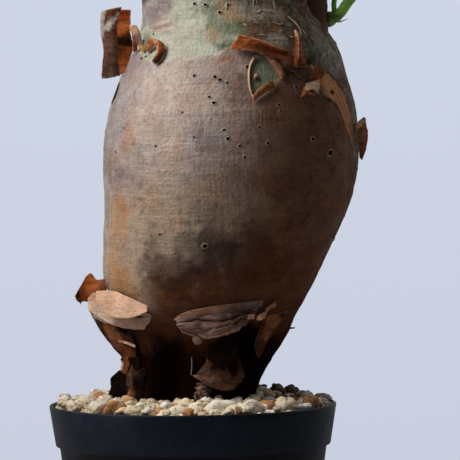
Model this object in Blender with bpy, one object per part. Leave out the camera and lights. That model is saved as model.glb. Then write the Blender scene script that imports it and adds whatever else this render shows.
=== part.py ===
"""Potted cyphostemma: a swollen trunk with peeling bark, in a round plastic nursery pot dressed with pumice.

The lengths below are millimetres and are turned into metres where a mesh is made. The origin is the middle of the
pot's underside, +Z is up and the plant's front is towards -Y. A place on the bark is given as an angle round the
trunk in degrees (0 is +X, 270 is the front), a height above the pot's underside and a lift off the bark.
"""

import math
import random

import bmesh
import bpy
from mathutils import Matrix, Vector

MM = 0.001
CLEARANCE = 0.35

# Pot: a straight tapered wall under a deep rim band
POT_HEIGHT = 110.0
POT_RIM_RADIUS = 60.0
POT_FOOT_RADIUS = 44.0
POT_BAND_HEIGHT = 17.0
POT_BAND_STEP = 1.7
POT_WALL = 1.6
POT_FLOOR = 2.2
DRAIN_HOLES = 6
DRAIN_RADIUS = 4.5
DRAIN_CIRCLE = 27.0

# Substrate and the pumice that covers it
SOIL_TOP = 102.0
BED_TOP = 107.4
STONE_PITCH = 10.4
STONE_RADIUS = (4.3, 5.9)
STONE_CENTRE_HEIGHT = 108.2
STONE_TOP_LIMIT = 113.6

# Trunk outline seen from the front: height, left edge, right edge
TRUNK_OUTLINE = [
    (56, -9, 9),
    (80, -20, 17),
    (104, -27, 24),
    (115, -27, 26.5),
    (130, -25.5, 34.8),
    (146, -29, 42.8),
    (154, -33, 47.2),
    (163, -36.5, 52),
    (176, -36.4, 58.2),
    (193, -35.4, 66),
    (212, -36, 70.2),
    (230, -34, 69.7),
    (247, -28, 65.8),
    (260, -21.8, 61.3),
    (267, -20.3, 56.5),
    (274, -19.5, 50.5),
    (286, -18.5, 47),
    (296, -14, 42.5),
    (303, -4, 33),
    (306, 7, 22),
]
TRUNK_DEPTH_RATIO = 0.93
TRUNK_SIDES = 36
TRUNK_RING_PITCH = 7.2
TRUNK_SWELL = 0.8
TRUNK_SWELL_TWIST = 0.045
CROWN_RINGS = (0.3, 0.55, 0.75, 0.9, 1.0)

# Furrows that run up from the roots to the overhanging bark
FURROW_BOTTOM = 104.0
FURROW_TOP = 152.0
FURROW_DEPTH = 0.08
FURROW_RISE = 12.0
FURROW_FADE = 26.0
FURROW_LOBES = 6
FURROW_PHASE = 0.84
LEG_LOBES = 3
LEG_PHASE = 1.99
LEG_SHARE = 0.6

# Short arms on the crown: foot, tip and radii at the foot and the tip
ARMS = {
    "left": ((0, 0, 286), (-15, -5, 344), 19.0, 13.5),
    "right": ((27, 6, 286), (41, 15, 335), 18.0, 12.5),
    "stub": ((46.5, 8, 258), (50, 10, 302), 10.6, 9.0),
}
ARM_SIDES = 18

# Peeling bark, each sheet as rows of (angle, height, lift) down or along the sheet
BARK_THICKNESS = 0.8
BARK_STEPS = 2
BARK_SHEETS = {
    "bark_sheet_upper_left": [
        [(197, 274.7, 6.1), (192, 274.8, 12), (195, 274, 18), (203, 275, 16.5), (206, 275.7, 13.2)],
        [(196, 267.2, 5.1), (191, 266.5, 10.8), (195, 265.6, 17.3), (203, 265.8, 15.7), (206, 267.4, 13)],
        [(189, 257.3, 1), (192, 257.3, 8), (196, 257, 14.4), (203, 257.2, 13.2), (206, 257.5, 10)],
        [(197, 248.5, 1), (196, 247, 4.2), (198, 246, 9.7), (205, 246.4, 8.2), (208, 247.2, 5.1)],
    ],
    "bark_ribbon_upper_left": [
        [(203, 268.3, 8.2), (204, 263.7, 6.5), (205, 260.4, 3.6), (207, 257, 1)],
        [(207, 268.2, 6.1), (209, 264.5, 4.8), (209, 260.8, 3.1), (210, 257, 1)],
    ],
    "bark_curl_upper_left": [
        [(215, 257, 1.2), (219, 262.3, 4), (227, 262.1, 5), (233, 258.4, 4.5), (232, 252.7, 3)],
        [(217, 256.2, 1), (219, 259, 1.4), (223, 258.9, 2), (226, 256.4, 1.5), (225, 253.2, 1)],
    ],
    "bark_ledge_upper_right": [
        [(274, 263.3, 1), (281, 261.8, 1), (290, 259.3, 1), (297, 257.6, 1)],
        [(269, 257.6, 3), (278, 256.7, 3.2), (287, 254, 3.2), (294, 253.3, 2)],
    ],
    "bark_roll_upper_right": [
        [(284, 252.4, 1.3), (289, 249.4, 1.2), (293, 245.2, 1.2)],
        [(287, 252.4, 2.8), (291, 250.6, 3), (294, 246.8, 2.4)],
    ],
    "bark_lip_upper_right": [
        [(280, 236.3, 1), (284, 239.1, 1), (290, 242, 1)],
        [(279, 237.6, 3), (283, 241.6, 3.4), (288, 243.4, 2.4)],
    ],
    "bark_spike_upper_right": [
        [(301, 249.6, 1), (300, 254.5, 3), (300, 259.4, 3.4), (306, 264.4, 2.6)],
        [(308, 250, 1), (306, 254.5, 2.4), (305, 259, 3.2), (309, 264.4, 2.6)],
    ],
    "bark_scrap_upper_right": [
        [(306, 243.1, 1), (311, 244.1, 1.4), (317, 244.9, 1)],
        [(303, 238.2, 2.6), (308, 239.8, 2.2), (310, 238.5, 2.4)],
    ],
    "bark_edge_right": [
        [(342, 226.8, 1), (344, 222.2, 1), (347, 216.8, 1), (350, 212.2, 1)],
        [(350, 228.8, 4.1), (350, 223, 4.2), (351, 217.2, 3.6), (353, 210.9, 1.8)],
    ],
    "bark_ear_lower_left": [
        [(199, 163.5, 1), (189, 162.7, 3.6), (187, 165.3, 6.2), (187, 160.8, 10.4), (188, 155.5, 15.6)],
        [(190, 159.2, 1), (189, 158, 5.4), (186, 155, 9.8), (186, 154.2, 12.3), (186, 153.4, 15.4)],
    ],
    "bark_lobe_lower_left": [
        [(202, 158.4, 4.6), (209, 158, 1.4), (222, 155.6, 1.2), (234, 152.9, 1.6)],
        [(204, 156, 7.7), (211, 152.9, 6.9), (224, 151.6, 5.5), (235, 151.9, 3.6)],
        [(205, 153.2, 8.8), (214, 147.9, 9.6), (226, 148.2, 7.5), (236, 150.9, 4.8)],
    ],
    "bark_collar_lower_left": [
        [(191, 155.4, 4), (199, 153.4, 1), (219, 150.8, 1), (232, 149.2, 1)],
        [(190, 152.7, 9.8), (198, 149.6, 6.4), (215, 147.2, 3.2), (233, 147.4, 2)],
        [(191, 149.6, 12.4), (199, 145.4, 8.4), (209, 143.1, 4.4), (226, 142.7, 2.6)],
    ],
    "bark_strip_lower_left": [
        [(183, 147.4, 11), (184, 142.4, 11), (187, 135.5, 8.4), (191, 129.2, 3.6)],
        [(193, 143.6, 3.6), (197, 139.4, 2.8), (203, 134.4, 1.6), (204, 129.4, 1.2)],
    ],
    "bark_shard_base_left": [
        [(195, 125.1, 3.7), (193, 120.6, 8.6), (194, 118, 8), (195, 116.4, 8.4)],
        [(192, 123.7, 1), (184, 120.2, 1), (184, 118, 1), (184, 116.2, 1)],
    ],
    "bark_fold_lower_middle": [
        [(248, 147.1, 1), (255, 150.1, 1), (269, 152.4, 1), (287, 154, 1), (306, 155.2, 1)],
        [(250, 146.4, 3), (258, 147.3, 3.4), (271, 147.7, 3.6), (287, 149.1, 3.4), (303, 152, 2.2)],
        [(252, 144, 4.5), (259, 143.7, 6), (273, 142.9, 6.4), (287, 145.9, 5.6), (299, 149.6, 2.8)],
        [(254, 141.9, 4), (261, 140.3, 5.5), (274, 139.5, 6), (290, 142.9, 5), (297, 147.6, 3)],
    ],
    "bark_tongue_lower_right": [
        [(308, 147.3, 1.2), (317, 148.7, 1), (328, 149.6, 1.2)],
        [(306, 141.5, 2.4), (312, 142.2, 3.2), (322, 143.1, 2.2)],
        [(306, 135.3, 3.2), (311, 135.2, 4), (318, 136.6, 3)],
        [(312, 131, 3.6), (314, 130.6, 4), (316, 131.7, 3.6)],
    ],
    "bark_shard_base_middle": [
        [(270, 135.8, 1), (281, 136.4, 1), (293, 135.5, 1)],
        [(272, 129.6, 2), (284, 129.1, 2.6), (301, 127.9, 2)],
        [(268, 123.5, 3.6), (286, 122.6, 5), (309, 121.5, 3.4)],
        [(279, 119.7, 3.6), (291, 117.4, 4.6), (302, 117, 3.8)],
    ],
    "bark_ledge_back": [
        [(58, 262, 1), (78, 259, 1), (100, 261, 1), (118, 257, 1)],
        [(56, 256, 2.8), (79, 253, 3.6), (101, 254, 3.2), (116, 251, 2.4)],
    ],
    "bark_collar_back_right": [
        [(26, 154, 1), (45, 152, 1), (65, 153, 1), (84, 151, 1)],
        [(25, 150, 3), (45, 147, 4.8), (65, 148, 4.4), (85, 147, 3)],
        [(29, 145, 4), (46, 141, 6), (64, 143, 6), (80, 143, 3.6)],
    ],
    "bark_collar_back_left": [
        [(99, 153, 1), (118, 156, 1), (138, 155, 1), (157, 158, 1)],
        [(99, 149, 3), (119, 150, 4.6), (140, 149, 5), (160, 153, 3.5)],
        [(103, 144, 3.4), (120, 141, 6.4), (139, 143, 7), (156, 147, 5)],
    ],
    "bark_strip_back": [
        [(87, 139, 1), (88, 132, 3), (90, 125, 3.2), (93, 118, 2.2)],
        [(98, 140, 1), (99, 132, 2.4), (98, 124, 2.4), (96, 117.5, 1.8)],
    ],
}

# Leaves: a leaf stalk ends in three fleshy toothed leaflets
LEAFLET_THICKNESS = 1.0
LEAFLET_TEETH = {"middle": 4, "side": 3}
LEAFLET_NOTCH = 0.82
LEAFLET_FOLD = 0.22
LEAFLET_SPREAD = 54.0
LEAFLET_TIP_SHIFT = 1.4
MIDDLE_LEAFLET = {"length": 1.0, "width": 0.56, "droop": 0.75}
SIDE_LEAFLET = {"length": 0.66, "width": 0.36, "droop": 0.6}
SHOOT_SIDES = 8
STALK_SIDES = 6

# Leafy shoots: seat and direction of the shoot's foot, its radius and length, and its leaves as
# (azimuth, elevation, stalk length, stalk radius, length of the middle leaflet)
SHOOTS = {
    "leafy_shoot_left": {
        "seat": (-15, -5, 344),
        "direction": (-15, -5, 58),
        "radius": 8.5,
        "length": 9.0,
        "leaves": [
            (190, 24, 25, 2.1, 54),
            (282, 48, 22, 2.1, 48),
            (98, 42, 24, 2.1, 52),
            (30, 80, 12, 1.6, 34),
        ],
    },
    "leafy_shoot_right": {
        "seat": (41, 15, 335),
        "direction": (14, 9, 49),
        "radius": 8.0,
        "length": 8.0,
        "leaves": [
            (330, 30, 24, 2.1, 50),
            (52, 44, 22, 2.1, 50),
            (180, 82, 12, 1.6, 34),
        ],
    },
}
SIDE_SHOOT_FOOT = (59.4, 9.4, 270.4)
SIDE_SHOOT_AXIS = (1.0, 0.08, 0.12)
SIDE_SHOOT_RADIUS = 3.4
SIDE_STALK_BENDS = [(61.2, 9.6, 271), (64, 9.4, 273.4), (67.6, 9, 278.4), (78, 6, 291)]
SIDE_STALK_RADIUS = 2.3
THIN_STALK_BENDS = [(61, 9.6, 271), (61, 9.8, 274.5), (61.4, 10.4, 279), (66, 15, 290)]
THIN_STALK_RADIUS = 1.15


def remove_objects():
    for obj in list(bpy.data.objects):
        bpy.data.objects.remove(obj, do_unlink=True)


def paint(obj, colour, roughness):
    """Gives the object its own plain material."""
    material = bpy.data.materials.new(obj.name + "_finish")
    material.use_nodes = True
    shader = material.node_tree.nodes["Principled BSDF"]
    shader.inputs["Base Color"].default_value = (*colour, 1.0)
    shader.inputs["Roughness"].default_value = roughness
    shader.inputs["Metallic"].default_value = 0.0
    obj.data.materials.clear()
    obj.data.materials.append(material)


def add_object(name, points, faces):
    """Makes a closed mesh object from points in millimetres, with its faces turned outwards."""
    mesh = bpy.data.meshes.new(name)
    mesh.from_pydata([Vector(p) * MM for p in points], [], faces)
    shell = bmesh.new()
    shell.from_mesh(mesh)
    bmesh.ops.recalc_face_normals(shell, faces=shell.faces[:])
    if shell.calc_volume(signed=True) < 0:
        bmesh.ops.reverse_faces(shell, faces=shell.faces[:])
    shell.to_mesh(mesh)
    shell.free()
    obj = bpy.data.objects.new(name, mesh)
    bpy.context.scene.collection.objects.link(obj)
    return obj


def finish_shading(obj, sharp_degrees=40):
    obj.data.shade_smooth()
    obj.data.set_sharp_from_angle(angle=math.radians(sharp_degrees))


def bake_boolean(obj, operation, other, solver="EXACT"):
    """Joins or cuts the object with another object or a collection, and removes what was used."""
    cut = obj.modifiers.new(operation.lower(), "BOOLEAN")
    cut.operation = operation
    cut.solver = solver
    if isinstance(other, bpy.types.Collection):
        cut.operand_type = "COLLECTION"
        cut.collection = other
        used = list(other.objects)
    else:
        cut.object = other
        used = [other]
    bpy.context.view_layer.update()
    evaluated = obj.evaluated_get(bpy.context.evaluated_depsgraph_get())
    mesh = bpy.data.meshes.new_from_object(evaluated)
    obj.modifiers.clear()
    obj.data = mesh
    for piece in used:
        bpy.data.objects.remove(piece, do_unlink=True)
    if isinstance(other, bpy.types.Collection):
        bpy.data.collections.remove(other)


def gather(name, pieces):
    """Puts the pieces in a collection of their own, for one union."""
    group = bpy.data.collections.new(name)
    bpy.context.scene.collection.children.link(group)
    for piece in pieces:
        bpy.context.scene.collection.objects.unlink(piece)
        group.objects.link(piece)
    return group


def ease(x):
    """Smooth step from 0 to 1."""
    x = min(max(x, 0.0), 1.0)
    return x * x * (3 - 2 * x)


def smooth_curve(points, steps):
    """Points along a smooth curve through the given ones, with so many steps between neighbours."""
    points = [Vector(p) for p in points]
    curve = []
    last = len(points) - 1
    for i in range(last):
        before, start = points[max(i - 1, 0)], points[i]
        end, after = points[i + 1], points[min(i + 2, last)]
        for step in range(steps):
            t = step / steps
            slope_in = (end - before) * 0.5
            slope_out = (after - start) * 0.5
            curve.append(
                start * (2 * t**3 - 3 * t**2 + 1)
                + slope_in * (t**3 - 2 * t**2 + t)
                + end * (3 * t**2 - 2 * t**3)
                + slope_out * (t**3 - t**2)
            )
    curve.append(points[last])
    return curve


def trunk_edges(height):
    """Left and right edge of the trunk at a height, on a smooth curve through the outline."""
    rows = TRUNK_OUTLINE
    last = len(rows) - 1
    i = 0
    while i < last - 1 and height > rows[i + 1][0]:
        i += 1

    def slope(k, column):
        low, high = max(k - 1, 0), min(k + 1, last)
        return (rows[high][column] - rows[low][column]) / (rows[high][0] - rows[low][0])

    span = rows[i + 1][0] - rows[i][0]
    t = min(max((height - rows[i][0]) / span, 0.0), 1.0)
    edges = []
    for column in (1, 2):
        edges.append(
            rows[i][column] * (2 * t**3 - 3 * t**2 + 1)
            + slope(i, column) * span * (t**3 - 2 * t**2 + t)
            + rows[i + 1][column] * (3 * t**2 - 2 * t**3)
            + slope(i + 1, column) * span * (t**3 - t**2)
        )
    return edges


def furrow(angle, height):
    """Factor on the trunk's radius: folds between the roots, fading out at the bark's overhang."""
    rise = ease((height - FURROW_BOTTOM) / FURROW_RISE)
    fade = ease((FURROW_TOP - height) / FURROW_FADE)
    turn = math.radians(angle)
    wave = math.cos(FURROW_LOBES * turn + FURROW_PHASE)
    wave += LEG_SHARE * math.cos(LEG_LOBES * turn + LEG_PHASE)
    return 1 - FURROW_DEPTH * rise * fade * (1 - wave) * 0.5


def bark_point(angle, height, lift=0.0):
    """A point on the trunk, or so far off it."""
    left, right = trunk_edges(height)
    turn = math.radians(angle)
    half = (right - left) / 2 * furrow(angle, height)
    swell = TRUNK_SWELL * math.sin(turn) ** 2 * math.sin(3 * turn + height * TRUNK_SWELL_TWIST)
    across = half + swell + lift
    deep = half * TRUNK_DEPTH_RATIO + swell + lift
    return Vector(((left + right) / 2 + across * math.cos(turn), deep * math.sin(turn), height))


def ring_heights(low, high, pitch):
    """Heights of the trunk's rings, closer together where the crown closes."""
    count = round((high - low) / pitch)
    heights = [low + (high - low) * i / count for i in range(count + 1)]
    crown = TRUNK_OUTLINE[-1][0]
    return heights + [high + (crown - high) * part for part in CROWN_RINGS]


def loft(name, rings):
    """A closed solid through rings of equal length, with flat ends."""
    sides = len(rings[0])
    points = [p for ring in rings for p in ring]
    faces = []
    for row in range(len(rings) - 1):
        for i in range(sides):
            j = (i + 1) % sides
            low, high = row * sides, (row + 1) * sides
            faces.append((low + i, low + j, high + j, high + i))
    faces.append(tuple(range(sides)))
    faces.append(tuple(range((len(rings) - 1) * sides, len(rings) * sides)))
    return add_object(name, points, faces)


def trunk_solid(name, low, high, pitch, lift=0.0, crown=True):
    heights = ring_heights(low, high, pitch)
    if not crown:
        heights = [h for h in heights if h <= high]
    rings = []
    for height in heights:
        rings.append([bark_point(360 * i / TRUNK_SIDES, height, lift) for i in range(TRUNK_SIDES)])
    return loft(name, rings)


def tube(name, path, radii, sides):
    """A round bar along a path, its rings square to it, with flat ends."""
    path = [Vector(p) for p in path]
    rings = []
    across = None
    for i, (centre, radius) in enumerate(zip(path, radii)):
        along = (path[min(i + 1, len(path) - 1)] - path[max(i - 1, 0)]).normalized()
        if across is None:
            across = along.orthogonal().normalized()
        across = (across - along * across.dot(along)).normalized()
        other = along.cross(across)
        ring = []
        for k in range(sides):
            turn = 2 * math.pi * k / sides
            ring.append(centre + (across * math.cos(turn) + other * math.sin(turn)) * radius)
        rings.append(ring)
    return loft(name, rings)


def lathe(name, profile, sides):
    """Turns a closed profile, listed from the axis outwards, up and back to the axis, about Z."""
    rings = profile[1:-1]
    points = [(0, 0, profile[0][1])]
    for radius, height in rings:
        for i in range(sides):
            turn = 2 * math.pi * i / sides
            points.append((radius * math.cos(turn), radius * math.sin(turn), height))
    points.append((0, 0, profile[-1][1]))
    last = len(points) - 1
    faces = []
    for i in range(sides):
        j = (i + 1) % sides
        faces.append((0, 1 + j, 1 + i))
        for row in range(len(rings) - 1):
            low, high = 1 + row * sides, 1 + (row + 1) * sides
            faces.append((low + i, low + j, high + j, high + i))
        top = 1 + (len(rings) - 1) * sides
        faces.append((last, top + i, top + j))
    return add_object(name, points, faces)


def sheet(name, grid, thickness, normals=None):
    """A thin plate over a grid of points, both of its faces split into triangles alike."""
    rows, columns = len(grid), len(grid[0])

    def normal(i, j):
        if normals:
            return normals[i][j]
        down = grid[min(i + 1, rows - 1)][j] - grid[max(i - 1, 0)][j]
        across = grid[i][min(j + 1, columns - 1)] - grid[i][max(j - 1, 0)]
        return across.cross(down).normalized()

    points = []
    for side in (0.5, -0.5):
        for i in range(rows):
            for j in range(columns):
                points.append(grid[i][j] + normal(i, j) * thickness * side)
    half = rows * columns
    faces = []
    for i in range(rows - 1):
        for j in range(columns - 1):
            a, b = i * columns + j, i * columns + j + 1
            c, d = a + columns, b + columns
            faces += [(a, b, d), (a, d, c), (half + a, half + d, half + b), (half + a, half + c, half + d)]
    rim = [j for j in range(columns)]
    rim += [i * columns + columns - 1 for i in range(1, rows)]
    rim += [(rows - 1) * columns + j for j in range(columns - 2, -1, -1)]
    rim += [i * columns for i in range(rows - 2, 0, -1)]
    for a, b in zip(rim, rim[1:] + rim[:1]):
        faces += [(a, half + a, half + b), (a, half + b, b)]
    return add_object(name, points, faces)


def pot_radius(height):
    """Outer radius of the pot's tapered wall, without the step of its band."""
    return POT_FOOT_RADIUS + (POT_RIM_RADIUS - POT_FOOT_RADIUS) * height / POT_HEIGHT


def make_pot():
    band = POT_HEIGHT - POT_BAND_HEIGHT
    body_top = pot_radius(band) - POT_BAND_STEP
    band_foot = pot_radius(band)
    inner_top = POT_RIM_RADIUS - POT_WALL
    inner_band = band_foot - POT_WALL
    inner_foot = POT_FOOT_RADIUS - POT_WALL
    profile = [
        (0, 0),
        (POT_FOOT_RADIUS - 1.2, 0),
        (POT_FOOT_RADIUS, 1.2),
        (body_top, band),
        (band_foot - 0.3, band),
        (band_foot, band + 0.5),
        (POT_RIM_RADIUS, POT_HEIGHT - 0.4),
        (POT_RIM_RADIUS - 0.4, POT_HEIGHT),
        (inner_top + 0.3, POT_HEIGHT),
        (inner_top, POT_HEIGHT - 0.3),
        (inner_band, band + 0.6),
        (body_top - POT_WALL, band - 0.8),
        (inner_foot + 0.3, POT_FLOOR + 0.6),
        (inner_foot - 0.6, POT_FLOOR),
        (0, POT_FLOOR),
    ]
    pot = lathe("pot", profile, 48)
    holes = []
    for i in range(DRAIN_HOLES):
        turn = 2 * math.pi * (i + 0.5) / DRAIN_HOLES
        centre = Vector((DRAIN_CIRCLE * math.cos(turn), DRAIN_CIRCLE * math.sin(turn), 0))
        path = [centre + Vector((0, 0, -3)), centre + Vector((0, 0, POT_FLOOR + 3))]
        holes.append(tube(f"drain_cutter_{i}", path, [DRAIN_RADIUS, DRAIN_RADIUS], 16))
    bake_boolean(pot, "DIFFERENCE", gather("drain_cutters", holes))
    finish_shading(pot, 30)
    paint(pot, (0.012, 0.013, 0.016), 0.5)
    return pot


def soil_radius(height):
    """Radius that keeps clear of the pot's wall."""
    band = POT_HEIGHT - POT_BAND_HEIGHT
    if height > band:
        return pot_radius(height) - POT_WALL - CLEARANCE - 0.1
    foot = POT_FOOT_RADIUS - POT_WALL
    top = pot_radius(band) - POT_BAND_STEP - POT_WALL
    return foot + (top - foot) * height / band - CLEARANCE - 0.2


def make_substrate():
    bottom = POT_FLOOR + CLEARANCE
    band = POT_HEIGHT - POT_BAND_HEIGHT
    profile = [
        (0, bottom),
        (soil_radius(bottom) - 1.2, bottom),
        (soil_radius(bottom), bottom + 1.2),
        (soil_radius(band - 1.5), band - 1.5),
        (soil_radius(band + 1.5), band + 1.5),
        (soil_radius(SOIL_TOP), SOIL_TOP),
        (0, SOIL_TOP),
    ]
    soil = lathe("substrate", profile, 48)
    low = TRUNK_OUTLINE[0][0] - CLEARANCE
    hole = trunk_solid("root_cutter", low, SOIL_TOP + 8, TRUNK_RING_PITCH, CLEARANCE, crown=False)
    bake_boolean(soil, "DIFFERENCE", hole)
    finish_shading(soil)
    paint(soil, (0.10, 0.065, 0.04), 0.9)
    return soil


def stone(name, centre, size, draw):
    """One rough pumice stone with few faces."""
    shape = bmesh.new()
    bmesh.ops.create_icosphere(shape, subdivisions=1, radius=1.0)
    turn = Matrix.Rotation(draw.uniform(0, 6.28), 3, "Z") @ Matrix.Rotation(draw.uniform(0, 6.28), 3, "X")
    stretch = Vector((draw.uniform(0.9, 1.25), draw.uniform(0.8, 1.0), draw.uniform(0.75, 0.95)))
    points = []
    for vert in shape.verts:
        rough = Vector([v * s * draw.uniform(0.86, 1.1) for v, s in zip(vert.co, stretch)])
        point = turn @ rough * size + centre
        point.z = min(point.z, STONE_TOP_LIMIT)
        points.append(point)
    faces = [tuple(v.index for v in face.verts) for face in shape.faces]
    shape.free()
    return add_object(name, points, faces)


def stone_places(draw):
    """Centres and sizes of the stones, on jittered rings between the trunk and the pot's wall."""
    places = []
    outer = soil_radius(POT_HEIGHT) - STONE_RADIUS[0]
    ring_count = int(outer / STONE_PITCH)
    for ring in range(ring_count):
        radius = outer - ring * STONE_PITCH * 0.92
        count = max(int(2 * math.pi * radius / STONE_PITCH), 1)
        for i in range(count):
            turn = 2 * math.pi * (i + 0.5 * (ring % 2) + draw.uniform(-0.2, 0.2)) / count
            reach = radius - draw.uniform(0, 1.4)
            size = draw.uniform(*STONE_RADIUS)
            if ring == 0:
                size = min(size, STONE_RADIUS[0] + 0.3)
                reach = radius - 0.9
            place = Vector((reach * math.cos(turn), reach * math.sin(turn), 0))
            place.z = STONE_CENTRE_HEIGHT + draw.uniform(-0.7, 0.9)
            left, right = trunk_edges(POT_HEIGHT)
            middle = Vector(((left + right) / 2, 0, 0))
            if (place - middle).xy.length > (right - left) / 2 + size * 0.3:
                places.append((place, size))
    return places


def make_pumice():
    draw = random.Random(41)
    low = SOIL_TOP + CLEARANCE
    profile = [
        (0, low),
        (soil_radius(low), low),
        (soil_radius(BED_TOP), BED_TOP),
        (0, BED_TOP),
    ]
    bed = lathe("pumice_dressing", profile, 48)
    stones = []
    for i, (place, size) in enumerate(stone_places(draw)):
        stones.append(stone(f"stone_{i}", place, size, draw))
    bake_boolean(bed, "UNION", gather("stones", stones), "MANIFOLD")
    hole = trunk_solid("stem_cutter", low - 6, POT_HEIGHT + 12, 4.0, CLEARANCE, crown=False)
    bake_boolean(bed, "DIFFERENCE", hole, "MANIFOLD")
    paint(bed, (0.62, 0.55, 0.43), 0.95)
    return bed


def arm_solid(name, foot, tip, foot_radius, tip_radius):
    foot, tip = Vector(foot), Vector(tip)
    stations = (0, 0.2, 0.4, 0.6, 0.8, 0.95, 1)
    path = [foot.lerp(tip, t) for t in stations]
    radii = []
    for t in stations:
        flare = 1 + 0.12 * (1 - t) ** 3
        radii.append((foot_radius + (tip_radius - foot_radius) * ease(t)) * flare)
    radii[-1] -= 1.6
    return tube(name, path, radii, ARM_SIDES)


def make_caudex():
    crown_start = TRUNK_OUTLINE[-3][0]
    trunk = trunk_solid("caudex", TRUNK_OUTLINE[0][0], crown_start, TRUNK_RING_PITCH)
    arms = []
    for name, (foot, tip, foot_radius, tip_radius) in ARMS.items():
        arms.append(arm_solid("arm_" + name, foot, tip, foot_radius, tip_radius))
    bake_boolean(trunk, "UNION", gather("arms", arms))
    finish_shading(trunk, 50)
    paint(trunk, (0.36, 0.28, 0.22), 0.65)
    return trunk


def make_bark(name, rows):
    """A peeling sheet: its control points on the bark, joined by smooth curves both ways."""
    lines = [smooth_curve(row, BARK_STEPS) for row in rows]
    columns = [smooth_curve([line[j] for line in lines], BARK_STEPS) for j in range(len(lines[0]))]
    grid = []
    for i in range(len(columns[0])):
        grid.append([bark_point(*column[i]) for column in columns])
    bark = sheet(name, grid, BARK_THICKNESS)
    finish_shading(bark)
    paint(bark, (0.30, 0.17, 0.09), 0.7)
    return bark


def heading(azimuth, elevation):
    turn, rise = math.radians(azimuth), math.radians(elevation)
    return Vector((math.cos(turn) * math.cos(rise), math.sin(turn) * math.cos(rise), math.sin(rise)))


def leaflet(name, base, forward, up, size, shape, teeth):
    """A fleshy oval blade with coarse teeth, folded up a little along its rib and arching down."""
    length, width, droop = size * shape["length"], size * shape["width"], shape["droop"]
    side = forward.cross(up).normalized()
    up = side.cross(forward).normalized()
    rows = 2 * teeth + 1
    grid, normals = [], []
    for i in range(rows):
        t = i / (rows - 1)
        bend = droop * t
        along = forward * math.cos(bend) - up * math.sin(bend)
        lifted = up * math.cos(bend) + forward * math.sin(bend)
        rib = base + (forward * math.sin(bend) - up * (1 - math.cos(bend))) * (length / droop)
        half = width / 2 * math.sin(math.pi * t**0.85) ** 1.15 + 0.8 * (1 - t)
        if i % 2 == 0 and 0 < i < rows - 1:
            half *= LEAFLET_NOTCH
        reach = along * LEAFLET_TIP_SHIFT if i % 2 else Vector()
        edge_lift = lifted * LEAFLET_FOLD * half
        half = max(half, 0.5)
        grid.append([rib - side * half + edge_lift + reach, rib, rib + side * half + edge_lift + reach])
        normals.append([lifted] * 3)
    return sheet(name, grid, LEAFLET_THICKNESS, normals)


def leaf(name, tip, forward, size):
    """Three leaflets at the end of a leaf stalk."""
    side = forward.cross(Vector((0, 0, 1))).normalized()
    up = side.cross(forward).normalized()
    root = tip - forward * 1.2
    pieces = [leaflet(name + "_middle", root, forward, up, size, MIDDLE_LEAFLET, LEAFLET_TEETH["middle"])]
    for label, sign in (("left", 1), ("right", -1)):
        turned = Matrix.Rotation(math.radians(sign * LEAFLET_SPREAD), 3, up) @ forward
        lower = (turned + up * 0.1).normalized()
        start = tip - forward * 6 - turned * 0.4
        pieces.append(leaflet(f"{name}_{label}", start, lower, up, size, SIDE_LEAFLET, LEAFLET_TEETH["side"]))
    return pieces


def stalk(name, path, radius):
    curve = smooth_curve(path, 2)
    radii = [radius * (1.25 - 0.3 * ease(4 * i / len(curve))) for i in range(len(curve))]
    return tube(name, curve, radii, STALK_SIDES), curve[-1], (curve[-1] - curve[-3]).normalized()


def make_shoot(name, plan):
    """A short green shoot on an arm's cut-off tip, with leaves round it."""
    seat, axis = Vector(plan["seat"]), Vector(plan["direction"]).normalized()
    foot = seat + axis * CLEARANCE
    radius, length = plan["radius"], plan["length"]
    path = [foot, foot + axis * length * 0.4, foot + axis * length * 0.8, foot + axis * length]
    shoot = tube(name, path, [radius, radius * 0.9, radius * 0.62, radius * 0.3], SHOOT_SIDES)
    pieces = []
    for i, (azimuth, elevation, reach, thick, size) in enumerate(plan["leaves"]):
        out = heading(azimuth, elevation)
        start = foot + axis * length * 0.45
        bend = start + heading(azimuth, elevation + 12) * (reach * 0.5 + radius * 0.5)
        end = start + out * (reach + radius * 0.6)
        bar, tip, forward = stalk(f"{name}_stalk_{i}", [start, bend, end], thick)
        pieces.append(bar)
        pieces += leaf(f"{name}_leaf_{i}", tip, forward, size)
    bake_boolean(shoot, "UNION", gather(name + "_leaves", pieces), "MANIFOLD")
    finish_shading(shoot)
    paint(shoot, (0.13, 0.30, 0.09), 0.45)
    return shoot


def make_side_shoot():
    """Two leaf stalks from a bud on the stub's flank."""
    name = "leafy_shoot_side"
    foot, axis = Vector(SIDE_SHOOT_FOOT), Vector(SIDE_SHOOT_AXIS).normalized()
    radius = SIDE_SHOOT_RADIUS
    path = [foot, foot + axis * 1.2, foot + axis * 2.6]
    bud = tube(name, path, [radius * 0.85, radius, radius * 0.6], SHOOT_SIDES)
    thick, thick_tip, thick_way = stalk("thick_stalk", SIDE_STALK_BENDS, SIDE_STALK_RADIUS)
    thin, thin_tip, thin_way = stalk("thin_stalk", THIN_STALK_BENDS, THIN_STALK_RADIUS)
    pieces = [thick, thin]
    pieces += leaf("thick_leaf", thick_tip, thick_way, 46)
    pieces += leaf("thin_leaf", thin_tip, thin_way, 22)
    bake_boolean(bud, "UNION", gather("side_leaves", pieces), "MANIFOLD")
    finish_shading(bud)
    paint(bud, (0.13, 0.34, 0.07), 0.45)
    return bud


def main():
    remove_objects()
    make_pot()
    make_substrate()
    make_pumice()
    make_caudex()
    for name, rows in BARK_SHEETS.items():
        make_bark(name, rows)
    for name, plan in SHOOTS.items():
        make_shoot(name, plan)
    make_side_shoot()


main()
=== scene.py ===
"""Looks of the potted cyphostemma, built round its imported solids.

Lengths are millimetres, turned into metres where a mesh is made. A place on the bark is given as an angle
round the trunk in degrees (0 is +X, 270 is the front), a height above the pot's underside and a lift off the
bark. Colours are sRGB values from 0 to 255, turned into linear ones where they are used.
"""

import math
import random

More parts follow.
